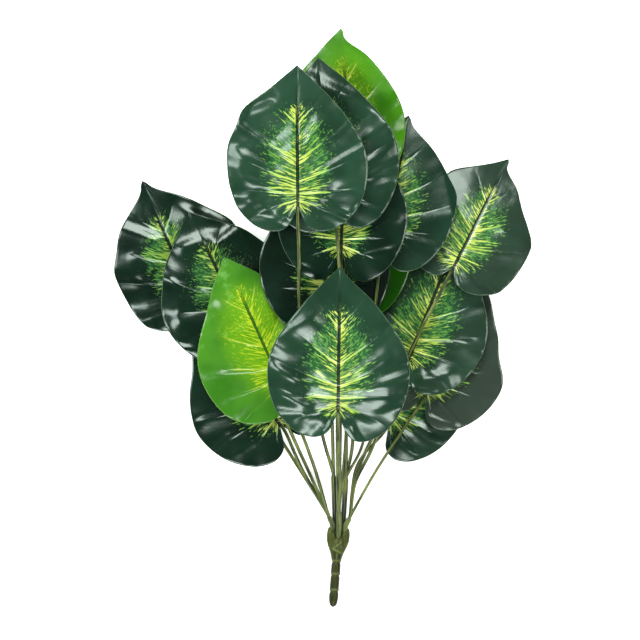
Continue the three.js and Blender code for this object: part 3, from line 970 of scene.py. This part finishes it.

# %% [markdown]
# ## The dark leaves
#
# Their plastic is deep green, a little cloudy. It is painted lighter on leaves that catch a haze of
# sheen and deeper on those that lie in shade, and a grey painted sheen lies on some of them. The
# yellow of the strokes turns green toward their ends, and dull where the print has faded.

# %% Mix the colours of the dark leaves
SHADED_DEEP_GREENS = colour(2, 20, 10), colour(8, 32, 20)
LIT_GREENS = colour(19, 47, 30), colour(29, 60, 41)
GREY_SHEEN = colour(52, 60, 52)
STROKE_YELLOWS = colour(158, 182, 64), colour(190, 206, 98)
STROKE_END = colour(124, 172, 76)
FADED_STROKE = colour(78, 122, 48)


def dark_ground(w, clouds, pale, warm):
    # Painted light: the lighter green stands for sheen, the deep green for shade
    deep = w.blend(clouds.ramp(0.3, 0.7), *SHADED_DEEP_GREENS)
    lit_green = w.blend(clouds.ramp(0.3, 0.7), *LIT_GREENS)
    # Painted sheen: warm leaves turn grey
    return w.blend(warm * 0.7, w.blend(pale, deep, lit_green), GREY_SHEEN)


def stroke_yellow(w, clouds, s, faded):
    yellow = w.blend(clouds.ramp(0.35, 0.65), *STROKE_YELLOWS)
    yellow = w.blend(s.ramp(0.12, 0.5), yellow, STROKE_END)
    return w.blend(faded, yellow, FADED_STROKE)


print("the deepest green is", [round(share, 4) for share in SHADED_DEEP_GREENS[0][:3]], "as light")

# %% [markdown]
# ## The finish of the dark leaves
#
# The colours are laid over each other from the plastic up, each with its own share: first the
# green ground, then glow, speckles and strokes, and the dark midrib last. The gloss comes from the
# plastic, a little uneven, as pressed film is.

# %% Mix the finish of the dark leaves
GLOW_GREEN = colour(34, 86, 42)
SPECKLE_GREEN = colour(84, 138, 58)
MIDRIB_GREEN = colour(5, 18, 11)
GREENISH_SHINE = (0.86, 1.0, 0.92, 1.0)
DARK_CLOUDS = 38.0  # a metre
DARK_PATCHES = (110.0, 3.0, 0.65)  # a metre, detail, roughness
DARK_PRINT = (0.6, 0.33, 0.44)  # its oval: half width, middle, half height
DARK_LINE = (1.6 * MM, 1.2 * MM)  # where the midrib's line starts, and where it is full
VEIN_LINE = (0.85 * MM, 0.4 * MM)


def dark_leaf(w):
    x, y, seed = w.attribute("spot")
    place, run, off_vein = w.attribute("vein")
    u, v, root = w.attribute("reach")
    s = run.size()
    ground = w.point(x, y, seed)
    clouds = w.noise(ground, DARK_CLOUDS)
    # pale and warm carry painted light, sheen and shade; faded is the print's own
    pale, warm, faded = w.attribute("cast")
    base = dark_ground(w, clouds, pale, warm)

    # An oval over the middle of the blade holds the print: a faint green first
    oval = oval_at(u, v, *DARK_PRINT)
    inside = oval.ramp(1.3, 0.1)
    patches = w.noise(ground, *DARK_PATCHES)
    glow = (inside * 0.9 + patches - 1.0).ramp(0.0, 0.4)
    printed = w.blend(glow * (0.8 - faded * 0.4), base, GLOW_GREEN)

    # Speckles lie thickest where the strokes end
    speckle = speckles(w, seed, place, s, root) + inside * 0.2 + patches * 0.3
    speckle_share = speckle.ramp(0.83, 0.93) * oval.ramp(1.4, 0.6) * (0.75 - faded * 0.5)
    printed = w.blend(speckle_share, printed, SPECKLE_GREEN)

    # Strokes thin out from the midrib
    reach = w.noise(w.point(place * 1.6 + root * 7.0, run.above(0.0) * 4.0, seed + 7.0), detail=1.0)
    density = (reach - 0.5) * 0.4 + 0.13 - s * 0.32
    stroke = strokes(w, seed, place, run, root) + density - oval.ramp(0.7, 1.2) * 0.3
    within = v.ramp(0.78, 0.68) * (v.ramp(-0.1, 0.0) * 0.5 + 0.5)
    stroke_share = stroke.ramp(0.61, 0.7) * within

    # A yellow line follows each side vein out to where the print ends
    vein_end = reach * 0.5 + inside * 0.35 - s
    vein_share = off_vein.ramp(*VEIN_LINE) * vein_end.ramp(0.0, 0.12) * within
    yellow = stroke_yellow(w, clouds, s, faded)
    printed = w.blend(stroke_share.at_least(vein_share), printed, yellow)

    # The midrib stays dark
    line = x.size().ramp(*DARK_LINE) * v.ramp(0.9, 0.6)
    printed = w.blend(line * 0.95, printed, MIDRIB_GREEN)
    grain = w.noise(w.point(place * 9.0 + root * 40.0, s * 12.0, seed))
    uneven = w.noise(ground, 60.0, roughness=0.6)
    return {
        "Base Color": printed,
        "Roughness": uneven * 0.13 + 0.12 + pale * 0.06,
        "Specular Tint": GREENISH_SHINE,
        "Normal": bumps(w, grain * 0.6 + uneven * 0.3, 0.05),
    }


dark_face = finish("variegated leaf", dark_leaf)
print("the dark leaf's finish has", len(dark_face.node_tree.nodes), "nodes")

# %% [markdown]
# ## The light leaves
#
# Three leaves are light green and yellower round the midrib, with yellow strokes and specks. One of
# them is milkier all over, patches of painted sheen lie on their upper halves, and the leaf that lies
# under others keeps a painted shade. They share the helpers of the dark ones, in other colours and
# shares.

# %% Mix the finish of the light leaves
SHADED_GREEN = colour(26, 86, 2)
LIGHT_GREENS = colour(38, 98, 5), colour(66, 128, 17)
MILKY_GREEN = colour(62, 116, 40)
SHEEN_PATCH = colour(116, 172, 90)
DARKER_CLOUD = colour(40, 100, 6)
YELLOW_GREEN = colour(104, 160, 12)
GREEN_STROKE = colour(50, 116, 8)
YELLOW_STROKE = colour(166, 186, 36)
LIGHT_MIDRIB = colour(22, 72, 14)
LIGHT_CLOUDS = 30.0
LIGHT_PATCHES = (70.0, 3.0, 0.6)
LIGHT_PRINT = (0.55, 0.4, 0.42)
LIGHT_LINE = (1.5 * MM, 1.0 * MM)
WIDER_VEIN_LINE = (0.9 * MM, 0.4 * MM)


def light_leaf(w):
    x, y, seed = w.attribute("spot")
    place, run, off_vein = w.attribute("vein")
    u, v, root = w.attribute("reach")
    s = run.size()
    ground = w.point(x, y, seed)
    clouds = w.noise(ground, LIGHT_CLOUDS)
    pale, warm, _ = w.attribute("cast")
    # Painted shade: a leaf with pale 0 gets the shaded green
    base = w.blend(pale, SHADED_GREEN, w.blend(clouds.ramp(0.3, 0.7), *LIGHT_GREENS))
    base = w.blend(warm * 0.7, base, MILKY_GREEN)
    patches = w.noise(ground, *LIGHT_PATCHES)
    # Painted sheen: paler patches on the upper half of the blade
    sheen_patches = patches.ramp(0.54, 0.7) * v.ramp(0.1, 0.7) * (warm * 0.5 + 0.1)
    base = w.blend(sheen_patches, base, SHEEN_PATCH)
    base = w.blend(clouds.ramp(0.5, 0.3) * 0.4, base, DARKER_CLOUD)
    oval = oval_at(u, v, *LIGHT_PRINT)
    inside = oval.ramp(1.3, 0.1)
    printed = w.blend(inside * (warm * 0.6 + 0.25) * pale, base, YELLOW_GREEN)

    # Yellow strokes from the midrib and yellow specks beyond them, with green ones between
    streak = strokes(w, seed, place, run, root)
    shadow = strokes(w, seed + 5.0, place, run, root)
    shadow_share = (shadow + 0.1 - s * 0.3).ramp(0.62, 0.7) * inside * 0.6
    printed = w.blend(shadow_share, printed, GREEN_STROKE)
    paler = (streak + 0.17 - s * 0.42 - oval.ramp(0.7, 1.2) * 0.3).ramp(0.62, 0.68)
    specks = (speckles(w, seed, place, s, root) + patches * 0.4).ramp(0.74, 0.86) * inside
    vein_share = off_vein.ramp(*WIDER_VEIN_LINE) * (0.75 - s).ramp(0.0, 0.3) * oval.ramp(1.3, 0.8)
    yellow_share = paler.at_least(vein_share * 0.7).at_least(specks * 0.6) * v.ramp(0.85, 0.72)
    printed = w.blend(yellow_share * 0.9, printed, YELLOW_STROKE)
    line = x.size().ramp(*LIGHT_LINE) * v.ramp(0.85, 0.6)
    printed = w.blend(line * 0.9, printed, LIGHT_MIDRIB)
    return {
        "Base Color": printed,
        "Roughness": w.noise(ground, 60.0, roughness=0.6) * 0.1 + 0.14,
        "Specular IOR Level": 0.3,
        "Normal": bumps(w, w.noise(w.point(place * 9.0, s * 14.0, seed)), 0.06),
    }


light_face = finish("light green leaf", light_leaf)
print("the light leaf's finish has", len(light_face.node_tree.nodes), "nodes")

# %% [markdown]
# ## The backs and the rims
#
# All backs are paler and duller than the faces, because the gloss film lies on one side only. The
# cut rim shows the dull plastic inside. Dark and light leaves differ in their colours alone, so one
# function makes both backs and another both rims.

# %% Mix the finishes of the backs and the rims
BACK_CLOUDS = (45.0, 3.0, 0.6)
RIM_CLOUDS = 200.0
PALE_VEIN = 0.9  # the width of the paler line on a side vein's rib


def back_finish(name, dark, pale):
    def recipe(w):
        x, y, seed = w.attribute("spot")
        off_vein = w.attribute("vein")[2]
        clouds = w.noise(w.point(x, y, seed), *BACK_CLOUDS)
        plain = w.blend(clouds.ramp(0.3, 0.7), dark, pale)
        on_rib = off_vein.bell(PALE_VEIN * MM) * 0.5 + x.bell(RIB_WIDTH * MM) * 0.5
        return {"Base Color": w.blend(on_rib, plain, pale), "Roughness": clouds * 0.2 + 0.5}

    return finish(name, recipe)


def rim_finish(name, dark, pale):
    def recipe(w):
        clouds = w.noise(w.point(*w.attribute("spot")), RIM_CLOUDS)
        return {"Base Color": w.blend(clouds, dark, pale), "Roughness": 0.45, "Specular IOR Level": 0.2}

    return finish(name, recipe)


dark_back = back_finish("back of variegated leaf", colour(46, 84, 54), colour(70, 108, 70))
light_back = back_finish("back of light green leaf", colour(96, 150, 60), colour(124, 172, 84))
dark_rim = rim_finish("cut rim", colour(48, 74, 54), colour(98, 122, 92))
light_rim = rim_finish("cut rim of light green leaf", colour(78, 132, 34), colour(118, 164, 62))
print("six finishes for the blades")

# %% [markdown]
# ## Sixteen blades
#
# Each blade is the flat pattern with the tree as its modifier. Its inputs are filled in from the
# table, and the result is kept as a plain mesh.

# %% Press the blades
NO_RIDGE = (0, 0, 1, 0, 1, 0)  # one without height


def ridge_values(number):
    """A blade's ridges for the tree."""
    rows = RIDGES.get(number, [])
    rows = rows + [NO_RIDGE] * (MOST_RIDGES - len(rows))
    values = {}
    for place, (x0, y0, x1, y1, width, height) in enumerate(rows):
        values[f"Ridge {place} start"] = Vector((x0, y0, height)) * MM
        values[f"Ridge {place} end"] = Vector((x1, y1, width)) * MM
    return values


def blade_values(number, leaf):
    """All that the tree has to know of one blade."""
    base, across, along, out, length = blade_axes(leaf)
    rise, droop, arch, lobe_drop = leaf.folds
    dark = (dark_face, dark_back, dark_rim)
    light = (light_face, light_back, light_rim)
    face, back, rim = light if leaf.light else dark
    return {
        "Length": length, "Left half": leaf.halves[0] * MM, "Right half": leaf.halves[1] * MM,
        "Left edge": Vector(leaf.edges[0]) * MM, "Right edge": Vector(leaf.edges[1]) * MM,
        "Left lobe": float(leaf.lobe[0]), "Right lobe": float(leaf.lobe[1]),
        "Rise": rise * MM, "Droop": droop * MM, "Arch": arch * MM,
        "Lobe drop": lobe_drop * MM, "Wave": leaf.waves[0] * MM, "Wave turn": float(leaf.waves[1]),
        "Dents": float(leaf.dents), "Cast": Vector((*leaf.cast, leaf.faded)), "Seed": number * 1.7,
        "Base": base, "Across": across, "Along": along, "Out": out,
        "Face": face, "Back": back, "Rim": rim, **ridge_values(number),
    }


blades = settle([
    dress(f"blade_{number:02d}", pattern, blade_tree, blade_values(number, leaf))
    for number, leaf in LEAVES.items()
])
for blade, (number, leaf) in zip(blades, LEAVES.items()):
    node = f"leaf_{number:02d}"
    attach(blade, "root")
    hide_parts(node)
    node_low, node_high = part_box(node)
    corners = np.array([vertex.co for vertex in blade.data.vertices])
    off = max(*(np.array(node_low) - corners.min(0)), *(corners.max(0) - np.array(node_high)))
    print(blade.name, face_count(blade), "triangles,", round(off / MM, 2), "mm past its solid's box")

# %% [markdown]
# ## Stems
#
# A stem is steel wire in olive plastic. The stems of a branch join in one prong, and the five prongs
# sit in a ring of sockets in the handle's collar. So the sockets are placed first.

# %% Seat the branches in the handle
class Branch(NamedTuple):
    angle: float
    fork: tuple
    leaves: tuple


BRANCHES = {
    "branch_left": Branch(162, (4, -166.5, 12.5), (7, 8, 10, 16)),
    "branch_centre_left": Branch(234, (8, -132, 14), (1, 6)),
    "branch_centre": Branch(90, (12.5, -162, 19), (2, 5, 9)),
    "branch_centre_right": Branch(306, (18.5, -134.5, 13), (3, 4, 13)),
    "branch_right": Branch(18, (21.5, -168, 12.5), (11, 12, 14, 15)),
}
SOCKET_CIRCLE = 5.9  # the radius of the ring of sockets
HANDLE_FOOT = Vector((7.5, -243, 9.4)) * MM + SHIFT
COLLAR_TOP = Vector((12.5, -176, 9.4)) * MM + SHIFT

handle_axis = (COLLAR_TOP - HANDLE_FOOT).normalized()
handle_across = Vector((handle_axis.y, -handle_axis.x, 0)).normalized()
handle_out = handle_across.cross(handle_axis)


def in_collar(angle, above):
    """A point on the ring of sockets, so far above the collar's top face."""
    turn = math.radians(angle)
    ring = handle_across * math.cos(turn) + handle_out * math.sin(turn)
    return COLLAR_TOP + handle_axis * (above * MM) + ring * (SOCKET_CIRCLE * MM)


print("the handle is", round((COLLAR_TOP - HANDLE_FOOT).length / MM), "mm long")

# %% [markdown]
# ## The route of a stem
#
# A stem leaves the fork of its branch, runs in one smooth curve through the points of the table
# above, and comes to the back of its blade from below. A plain curve through uneven points swings
# out at the short steps, so this one weighs each step by the root of its length.

# %% Find the route of a stem
STEM_REACH = 5  # how far a stem runs on under its blade
STEM_APPROACH = 12  # how long its last stretch is
STEM_DIP = 1.6  # and how much lower it starts
FORK_OVERLAP = 5  # how far inside the prong a stem begins
SEAT_GAP = 0.3  # between a stem's end and the back of its blade
SOLID_GROOVE = 0.5  # the midrib's groove in the solid blades
STEP = 1.2  # between two rings of a stem


def smooth_route(points):
    """A curve through the points that keeps its bends even where they are unevenly spaced."""
    points = [Vector(point) for point in points]
    points = [2 * points[0] - points[1], *points, 2 * points[-1] - points[-2]]
    route = []
    for p0, p1, p2, p3 in zip(points, points[1:], points[2:], points[3:]):
        before, here, after = [math.sqrt((b - a).length) for a, b in ((p0, p1), (p1, p2), (p2, p3))]
        leave = ((p1 - p0) / before - (p2 - p0) / (before + here) + (p2 - p1) / here) * here
        arrive = ((p2 - p1) / here - (p3 - p1) / (here + after) + (p3 - p2) / after) * here
        count = max(2, round((p2 - p1).length / (STEP * MM)))
        route += [curve_point(p1, p2, leave, arrive, number / count) for number in range(count)]
    return [*route, points[-2]]


def stem_route(leaf, fork, mouth):
    """From inside the prong to the back of the blade."""
    base, _, along, out, length = blade_axes(leaf)
    reach = STEM_REACH * MM / length
    arch = leaf.folds[2]
    back = SOLID_GROOVE + BLADE_THICKNESS + RIB_DEPTH * (1 - reach)
    below = back - arch * 4 * reach * (1 - reach) + SEAT_GAP + leaf.stem / 2
    end = base + along * (STEM_REACH * MM) - out * (below * MM)
    before = end - along * (STEM_APPROACH * MM) - out * (STEM_DIP * MM)
    inside = fork.lerp(mouth, min(0.5, FORK_OVERLAP * MM / (fork - mouth).length))
    via = [Vector(point) * MM + SHIFT for point in leaf.via]
    return smooth_route([inside, fork, *via, before, end])


print("a stem has a ring every", STEP, "mm")

# %% [markdown]
# ## Thickness along the way
#
# A stem is not a plain tube: a short sleeve grips the wire under the blade, and every end is
# rounded. Both are a matter of how far a point is from the end, so the radius is a formula of that.

# %% Find how thick prongs and stems are
PRONG_DIAMETER = 4.4
PRONG_ROUNDING = (0.5, 1.2)  # how much less radius at the very end, and over what length
STEM_SHARE = 0.97  # of the solid stem's radius
STEM_ROUNDING = (0.35, 0.5)
SLEEVE_LENGTH = 9
SLEEVE_SWELL = 0.14  # how much thicker it is than its stem
SLEEVE_EDGE = 0.5  # the length over which it thins


def rounding(to_end, amount, over):
    """What a rounded end takes off the radius."""
    return amount * math.exp(-((to_end / over) ** 2))


def prong_radius(to_end):
    return PRONG_DIAMETER / 2 - rounding(to_end, *PRONG_ROUNDING)


def stem_radius(solid_radius):
    """The radius of a stem and its sleeve, by how far it is to the end."""

    def radius_at(to_end):
        sleeve = SLEEVE_SWELL * solid_radius / (1 + math.exp((to_end - SLEEVE_LENGTH) / SLEEVE_EDGE))
        return solid_radius * STEM_SHARE + sleeve - rounding(to_end, *STEM_ROUNDING)

    return radius_at


print("a prong's end is", round(prong_radius(0), 2), "mm thick to each side")

# %% [markdown]
# ## Laying the curves
#
# A curve object keeps a radius at each of its points, so it can hold a whole branch: one run of
# points for the prong, from deep in its socket to the fork, and one for each stem.

# %% Lay all routes, with a radius at every point
PRONG_MOUTH = 1.5  # above the collar's top, where a prong comes out
PRONG_SEAT = (10.5, 4)  # the depths in its socket through which a prong runs


def add_wire(curve, route, radius_at):
    """A run of points with their radii. Returns its length in millimetres."""
    spline = curve.splines.new("POLY")
    spline.points.add(len(route) - 1)
    gone = np.insert(np.cumsum([(b - a).length for a, b in zip(route, route[1:])]), 0, 0) / MM
    for point, place, distance in zip(spline.points, route, gone):
        point.co = (*place, 1)
        point.radius = radius_at(gone[-1] - distance) * MM
    return gone[-1]


stem_lengths = []
branch_curves = {}
for name, branch in BRANCHES.items():
    curve = bpy.data.curves.new(name + " routes", "CURVE")
    curve.dimensions = "3D"
    fork = Vector(branch.fork) * MM + SHIFT
    mouth = in_collar(branch.angle, PRONG_MOUTH)
    seat = [in_collar(branch.angle, -sunk) for sunk in PRONG_SEAT]
    add_wire(curve, smooth_route([*seat, mouth, fork]), prong_radius)
    for number in branch.leaves:
        leaf = LEAVES[number]
        stem_lengths.append(add_wire(curve, stem_route(leaf, fork, mouth), stem_radius(leaf.stem / 2)))
    branch_curves[name] = curve
print(len(stem_lengths), "stems,", round(min(stem_lengths)), "to", round(max(stem_lengths)), "mm long")

# %% [markdown]
# ## The skin of the stems
#
# A second node tree sweeps a circle along each curve, because a swept circle keeps its thickness
# through every bend. It also stores how far along the stem and where round it each point is, so
# that the streaks of the plastic can run along the stem.

# %% Give the stems their skin
skin_tree, w, routes, skin_input = open_tree("Stem skin", whole=["Sides"], material=["Plastic"])
ring = w.made("GeometryNodeCurvePrimitiveCircle", {"Resolution": skin_input["Sides"], "Radius": 1.0})
gone = w.made("GeometryNodeSplineParameter", output="Length")
whole = w.made("GeometryNodeSplineLength")
routes = w.store(routes, "walk", w.point(gone, whole))
ring = w.store(ring, "turn", w.made("GeometryNodeInputPosition"))
thickness = w.made("GeometryNodeInputRadius")
inputs = {"Curve": routes, "Profile Curve": ring, "Scale": thickness, "Fill Caps": True}
skin = w.made("GeometryNodeCurveToMesh", inputs)
skin = w.made("GeometryNodeSetMaterial", {"Geometry": skin, "Material": skin_input["Plastic"]})
close_tree(w, skin)
print("the skin's tree has", len(skin_tree.nodes), "nodes")

# %% [markdown]
# ## The plastic of the stems
#
# The coating is streaky olive, drawn out along the wire. Beside the collar, and most between the
# prongs, it lies in deep shade. The glow of the table would fill that, so shade is painted there.

# %% Mix their plastic and hand over the stems
STREAK_OLIVES = colour(28, 38, 11), colour(112, 127, 62)
PALE_OLIVE = colour(136, 150, 78)
COLLAR_SHADE = colour(56, 66, 26)
GAP_SHADE = colour(16, 22, 6)
NEAR_COLLAR = (-0.130, -0.160)  # metres along the table, toward the foot
BETWEEN_PRONGS = (0.0142, 0.0085)  # metres above the table, downward
SIDES = 14  # of the swept circle


def stem_plastic(w):
    """Olive plastic with long streaks, with painted shade beside the collar and between the prongs."""
    place = w.made("ShaderNodeTexCoord", output="Object")
    _, y, z = w.parts(place)
    gone, whole, _ = w.attribute("walk")
    turn_x, turn_y, _ = w.attribute("turn")
    streak = w.noise(w.point(turn_x * 1.8 + whole * 90.0, gone * 40.0, turn_y * 1.8), 1.0, 3.0, 0.6)
    patch = w.noise(place, 40.0)
    olive = w.blend(streak.ramp(0.42, 0.59), *STREAK_OLIVES)
    olive = w.blend(patch.ramp(0.5, 0.75) * 0.5, olive, PALE_OLIVE)
    # Painted shade beside the collar, deeper between the prongs
    near_collar = y.ramp(*NEAR_COLLAR)
    olive = w.blend(near_collar * 0.45, olive, COLLAR_SHADE)
    olive = w.blend(near_collar * z.ramp(*BETWEEN_PRONGS) * 0.9, olive, GAP_SHADE)
    return {
        "Base Color": olive,
        "Roughness": streak * 0.2 + 0.3,
        "Specular IOR Level": 0.35,
        "Normal": bumps(w, streak, 0.12),
    }


stem_finish = finish("olive stem", stem_plastic)
skins = settle([
    dress(name + "_stems", curve, skin_tree, {"Sides": SIDES, "Plastic": stem_finish})
    for name, curve in branch_curves.items()
])
for piece, node in zip(skins, BRANCHES):
    piece.data.polygons.foreach_set("use_smooth", [True] * len(piece.data.polygons))
    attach(piece, "root")
    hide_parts(node)
    print(piece.name, face_count(piece), "triangles")

# %% [markdown]
# ## The handle
#
# The handle is one moulding of darker olive: a stalk with a rounded foot and three raised lips,
# and a collar that opens into five lobes, one round each prong. A turned form alone would hide the
# lobes, so each ring of the mesh blends from a circle into the outline of five overlapping tubes.

# %% Draw the collar round the prongs
AROUND = 120  # points in a ring
LOBE_RADIUS = 3.7

lobe_angles = np.radians([branch.angle for branch in BRANCHES.values()])
around = np.linspace(0, 2 * np.pi, AROUND, endpoint=False)


def lobed_radius(angle):
    """How far out five tubes round the sockets reach in a direction."""
    offset = np.abs((angle[:, None] - lobe_angles + np.pi) % (2 * np.pi) - np.pi)
    offset = offset.min(axis=1)
    aside = SOCKET_CIRCLE * np.sin(offset)
    return SOCKET_CIRCLE * np.cos(offset) + np.sqrt(LOBE_RADIUS**2 - aside**2)


def smooth_step(value, low, high):
    share = np.clip((value - low) / (high - low), 0, 1)
    return share * share * (3 - 2 * share)


def bell(value, width):
    return np.exp(-((value / width) ** 2))


lobed = lobed_radius(around)
lobed = lobed / (lobed * np.abs(np.cos(around))).max()
print("a lobe stands out", round(lobed.max() / lobed.min(), 2), "times as far as the hollow beside it")

# %% [markdown]
# ## The rings of the handle
#
# The collar is cut lower where it faces up, so the prongs show in it. Two slanting seams under the
# cut are left from the pouring. Grooves, lips and seams are too small for the profile, so each is
# a bell that is added to the radius.

# %% Turn the rings of the handle
HANDLE_PROFILE = [  # radius and distance from the foot
    (0, 0), (1.5, 0.5), (2.9, 2), (3.7, 5), (4, 9), (3.9, 12), (3.7, 13), (3.9, 15), (3.9, 25),
    (3.7, 26.5), (4, 28), (3.9, 36), (3.7, 37.5), (4.1, 40), (5.7, 45.5), (8.3, 51.5), (9.5, 56),
    (9.8, 60), (9.7, 63), (9.2, 65.8), (8.6, 67),
]
COLLAR_HEIGHT = 67  # from the foot
LOBES_BEGIN = 42
LOBES_FULL = 58
LOBE_TRIM = 0.99  # keeps the lobes inside the solid collar
FRONT = math.pi / 2
FRONT_SPREAD = 0.8  # radians to each side of the front that the cut is wide
FRONT_CUT = 9  # how much lower the collar is where it faces up
CUT_BEGINS = 50
GROOVES = (13, 26.5, 37.5)  # round the stalk, each under a raised lip
GROOVE_SHAPE = (0.35, 0.7)  # how deep, and how far to each side
LIP_SHAPE = (0.25, 0.9)  # how high, and how far to each side
LIP_ABOVE = 1.8  # from a groove to its lip
SEAMS = ((52.5, 0.9), (47.5, -0.5))  # where two pours of plastic met: height and slant
SEAM_RISE = 0.6
SEAM_WIDTH = 0.8
SEAM_REACH = 4.5  # to each side of the front

profile = np.array(HANDLE_PROFILE)
top_edge = COLLAR_HEIGHT - FRONT_CUT * bell(around - FRONT, FRONT_SPREAD)


def outer_ring(place):
    """One ring of the moulding, as places across, out and up."""
    turned = np.interp(place, profile[:, 1], profile[:, 0])
    for groove in GROOVES:
        lip = LIP_SHAPE[0] * bell(place - groove - LIP_ABOVE, LIP_SHAPE[1])
        turned += lip - GROOVE_SHAPE[0] * bell(place - groove, GROOVE_SHAPE[1])
    share = smooth_step(place, LOBES_BEGIN, LOBES_FULL)
    radius = turned * (1 + (lobed * LOBE_TRIM - 1) * share)
    aside = radius * np.cos(around)
    for height, slant in SEAMS:
        seam = bell(place - height - slant * aside, SEAM_WIDTH) * bell(aside, SEAM_REACH)
        radius = radius + SEAM_RISE * seam * (np.sin(around) > 0)
    stretch = (top_edge - CUT_BEGINS) / (COLLAR_HEIGHT - CUT_BEGINS)
    level = np.where(place > CUT_BEGINS, CUT_BEGINS + (place - CUT_BEGINS) * stretch, place)
    return np.column_stack([radius * np.cos(around), radius * np.sin(around), level])


print("the collar's top edge lies", round(top_edge.min()), "to", COLLAR_HEIGHT, "mm from the foot")

# %% [markdown]
# ## The cup
#
# The collar is an open cup. After the outer rings come a few smaller ones that go down inside it to
# its floor, and faces join each ring to the next. A point at the foot and one on the floor close
# the skin.

# %% Join the rings into one moulding
CUP_FLOOR = 57.4
CUP_RINGS = ((0.96, 0), (0.91, 0.1), (0.85, 1.5), (0.8, 5), (0.5, 7.5))  # share of the rim, drop
RING_STEP = 0.5
FIRST_RING = 0.4
RIM_RINGS = (0.7, 0.3)  # the last two rings, this far below the top

rising = np.arange(FIRST_RING, COLLAR_HEIGHT - 1, RING_STEP)
topmost = [COLLAR_HEIGHT - short for short in RIM_RINGS]
rings = [outer_ring(place) for place in [*rising, *topmost]]
rim = rings[-1]
for inset, drop in CUP_RINGS:
    inner = rim * (inset, inset, 1)
    inner[:, 2] = np.maximum(top_edge - drop, CUP_FLOOR)
    rings.append(inner)

points = [HANDLE_FOOT + handle_axis * (BOX_GAP * MM)]
for x, y, place in np.vstack(rings).tolist():
    point = HANDLE_FOOT + (handle_across * x + handle_out * y + handle_axis * place) * MM
    point.z = max(point.z, BOX_GAP * MM)
    points.append(point)
points.append(HANDLE_FOOT + handle_axis * (CUP_FLOOR * MM))
faces = []
for k in range(AROUND):
    following = (k + 1) % AROUND
    faces.append((0, 1 + following, 1 + k))
    for below in range(1, 1 + (len(rings) - 1) * AROUND, AROUND):
        above = below + AROUND
        faces.append((below + k, below + following, above + following, above + k))
    top = 1 + (len(rings) - 1) * AROUND
    faces.append((top + k, top + following, len(points) - 1))
handle_mesh = bpy.data.meshes.new("handle_moulding")
handle_mesh.from_pydata(points, [], faces)
handle_mesh.polygons.foreach_set("use_smooth", [True] * len(faces))
moulding = add_object("handle_moulding", handle_mesh)
print(len(rings), "rings of", AROUND, "points")

# %% [markdown]
# ## The plastic of the handle
#
# The handle is darker than the stems, and darkest on its stalk. A highlight is painted on each lip,
# the seams are paler, and shade is painted in the bottom of the cup, under the prongs.

# %% Mix the plastic and hand over the handle
STALK_OLIVES = colour(30, 36, 9), colour(47, 54, 16)
COLLAR_OLIVES = colour(38, 46, 12), colour(70, 79, 28)
LIP_HIGHLIGHT = colour(104, 116, 60)
PALER_SEAM = colour(132, 146, 76)
CUP_SHADE = colour(14, 19, 5)
COLLAR_STARTS = (0.036, 0.052)  # metres from the foot
CUP_STARTS = (0.0545, 0.057)
CUP_DEPTHS = (0.0125, 0.009)  # metres above the table, downward
LIP_BAND = 1.0 * MM  # the width of the painted highlight on a lip
SEAM_BAND = 0.9 * MM
SEAM_HALF_LENGTH = 4.0 * MM


def handle_plastic(w):
    """Dark olive with faint streaks and fine pits."""
    place = w.made("ShaderNodeTexCoord", output="Object")
    x, y, z = w.parts(place)
    streak = w.noise(w.point(x * 600.0, y * 50.0, z * 600.0))
    patch = w.noise(place, 180.0, 3.0, 0.6)
    from_foot = y - float(HANDLE_FOOT.y)
    stalk = w.blend(streak.ramp(0.3, 0.7), *STALK_OLIVES)
    collar = w.blend(streak.ramp(0.3, 0.7), *COLLAR_OLIVES)
    olive = w.blend(from_foot.ramp(*COLLAR_STARTS), stalk, collar)
    for groove in GROOVES:
        # Painted highlight on the lip above each groove
        lip = (from_foot - float(handle_axis.y) * (groove + LIP_ABOVE) * MM).bell(LIP_BAND)
        olive = w.blend(lip * 0.5, olive, LIP_HIGHLIGHT)
    from_axis = x - float(HANDLE_FOOT.x) - from_foot * float(handle_axis.x / handle_axis.y)
    # Paler along the two seams
    for height, slant in SEAMS:
        seam = (from_foot - height * MM - from_axis * slant).bell(SEAM_BAND)
        olive = w.blend(seam * from_axis.bell(SEAM_HALF_LENGTH) * 0.4, olive, PALER_SEAM)
    # Painted shade in the bottom of the cup
    in_cup = z.ramp(*CUP_DEPTHS) * from_foot.ramp(*CUP_STARTS)
    olive = w.blend(in_cup * 0.9, olive, CUP_SHADE)
    return {
        "Base Color": olive,
        "Roughness": patch * 0.2 + 0.26,
        "Specular IOR Level": 0.18,
        "Normal": bumps(w, streak * 0.6 + patch * 0.4, 0.12),
    }


handle_mesh.materials.append(finish("olive handle", handle_plastic))
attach(moulding, "root")
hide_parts("handle")
print(moulding.name, face_count(moulding), "triangles")
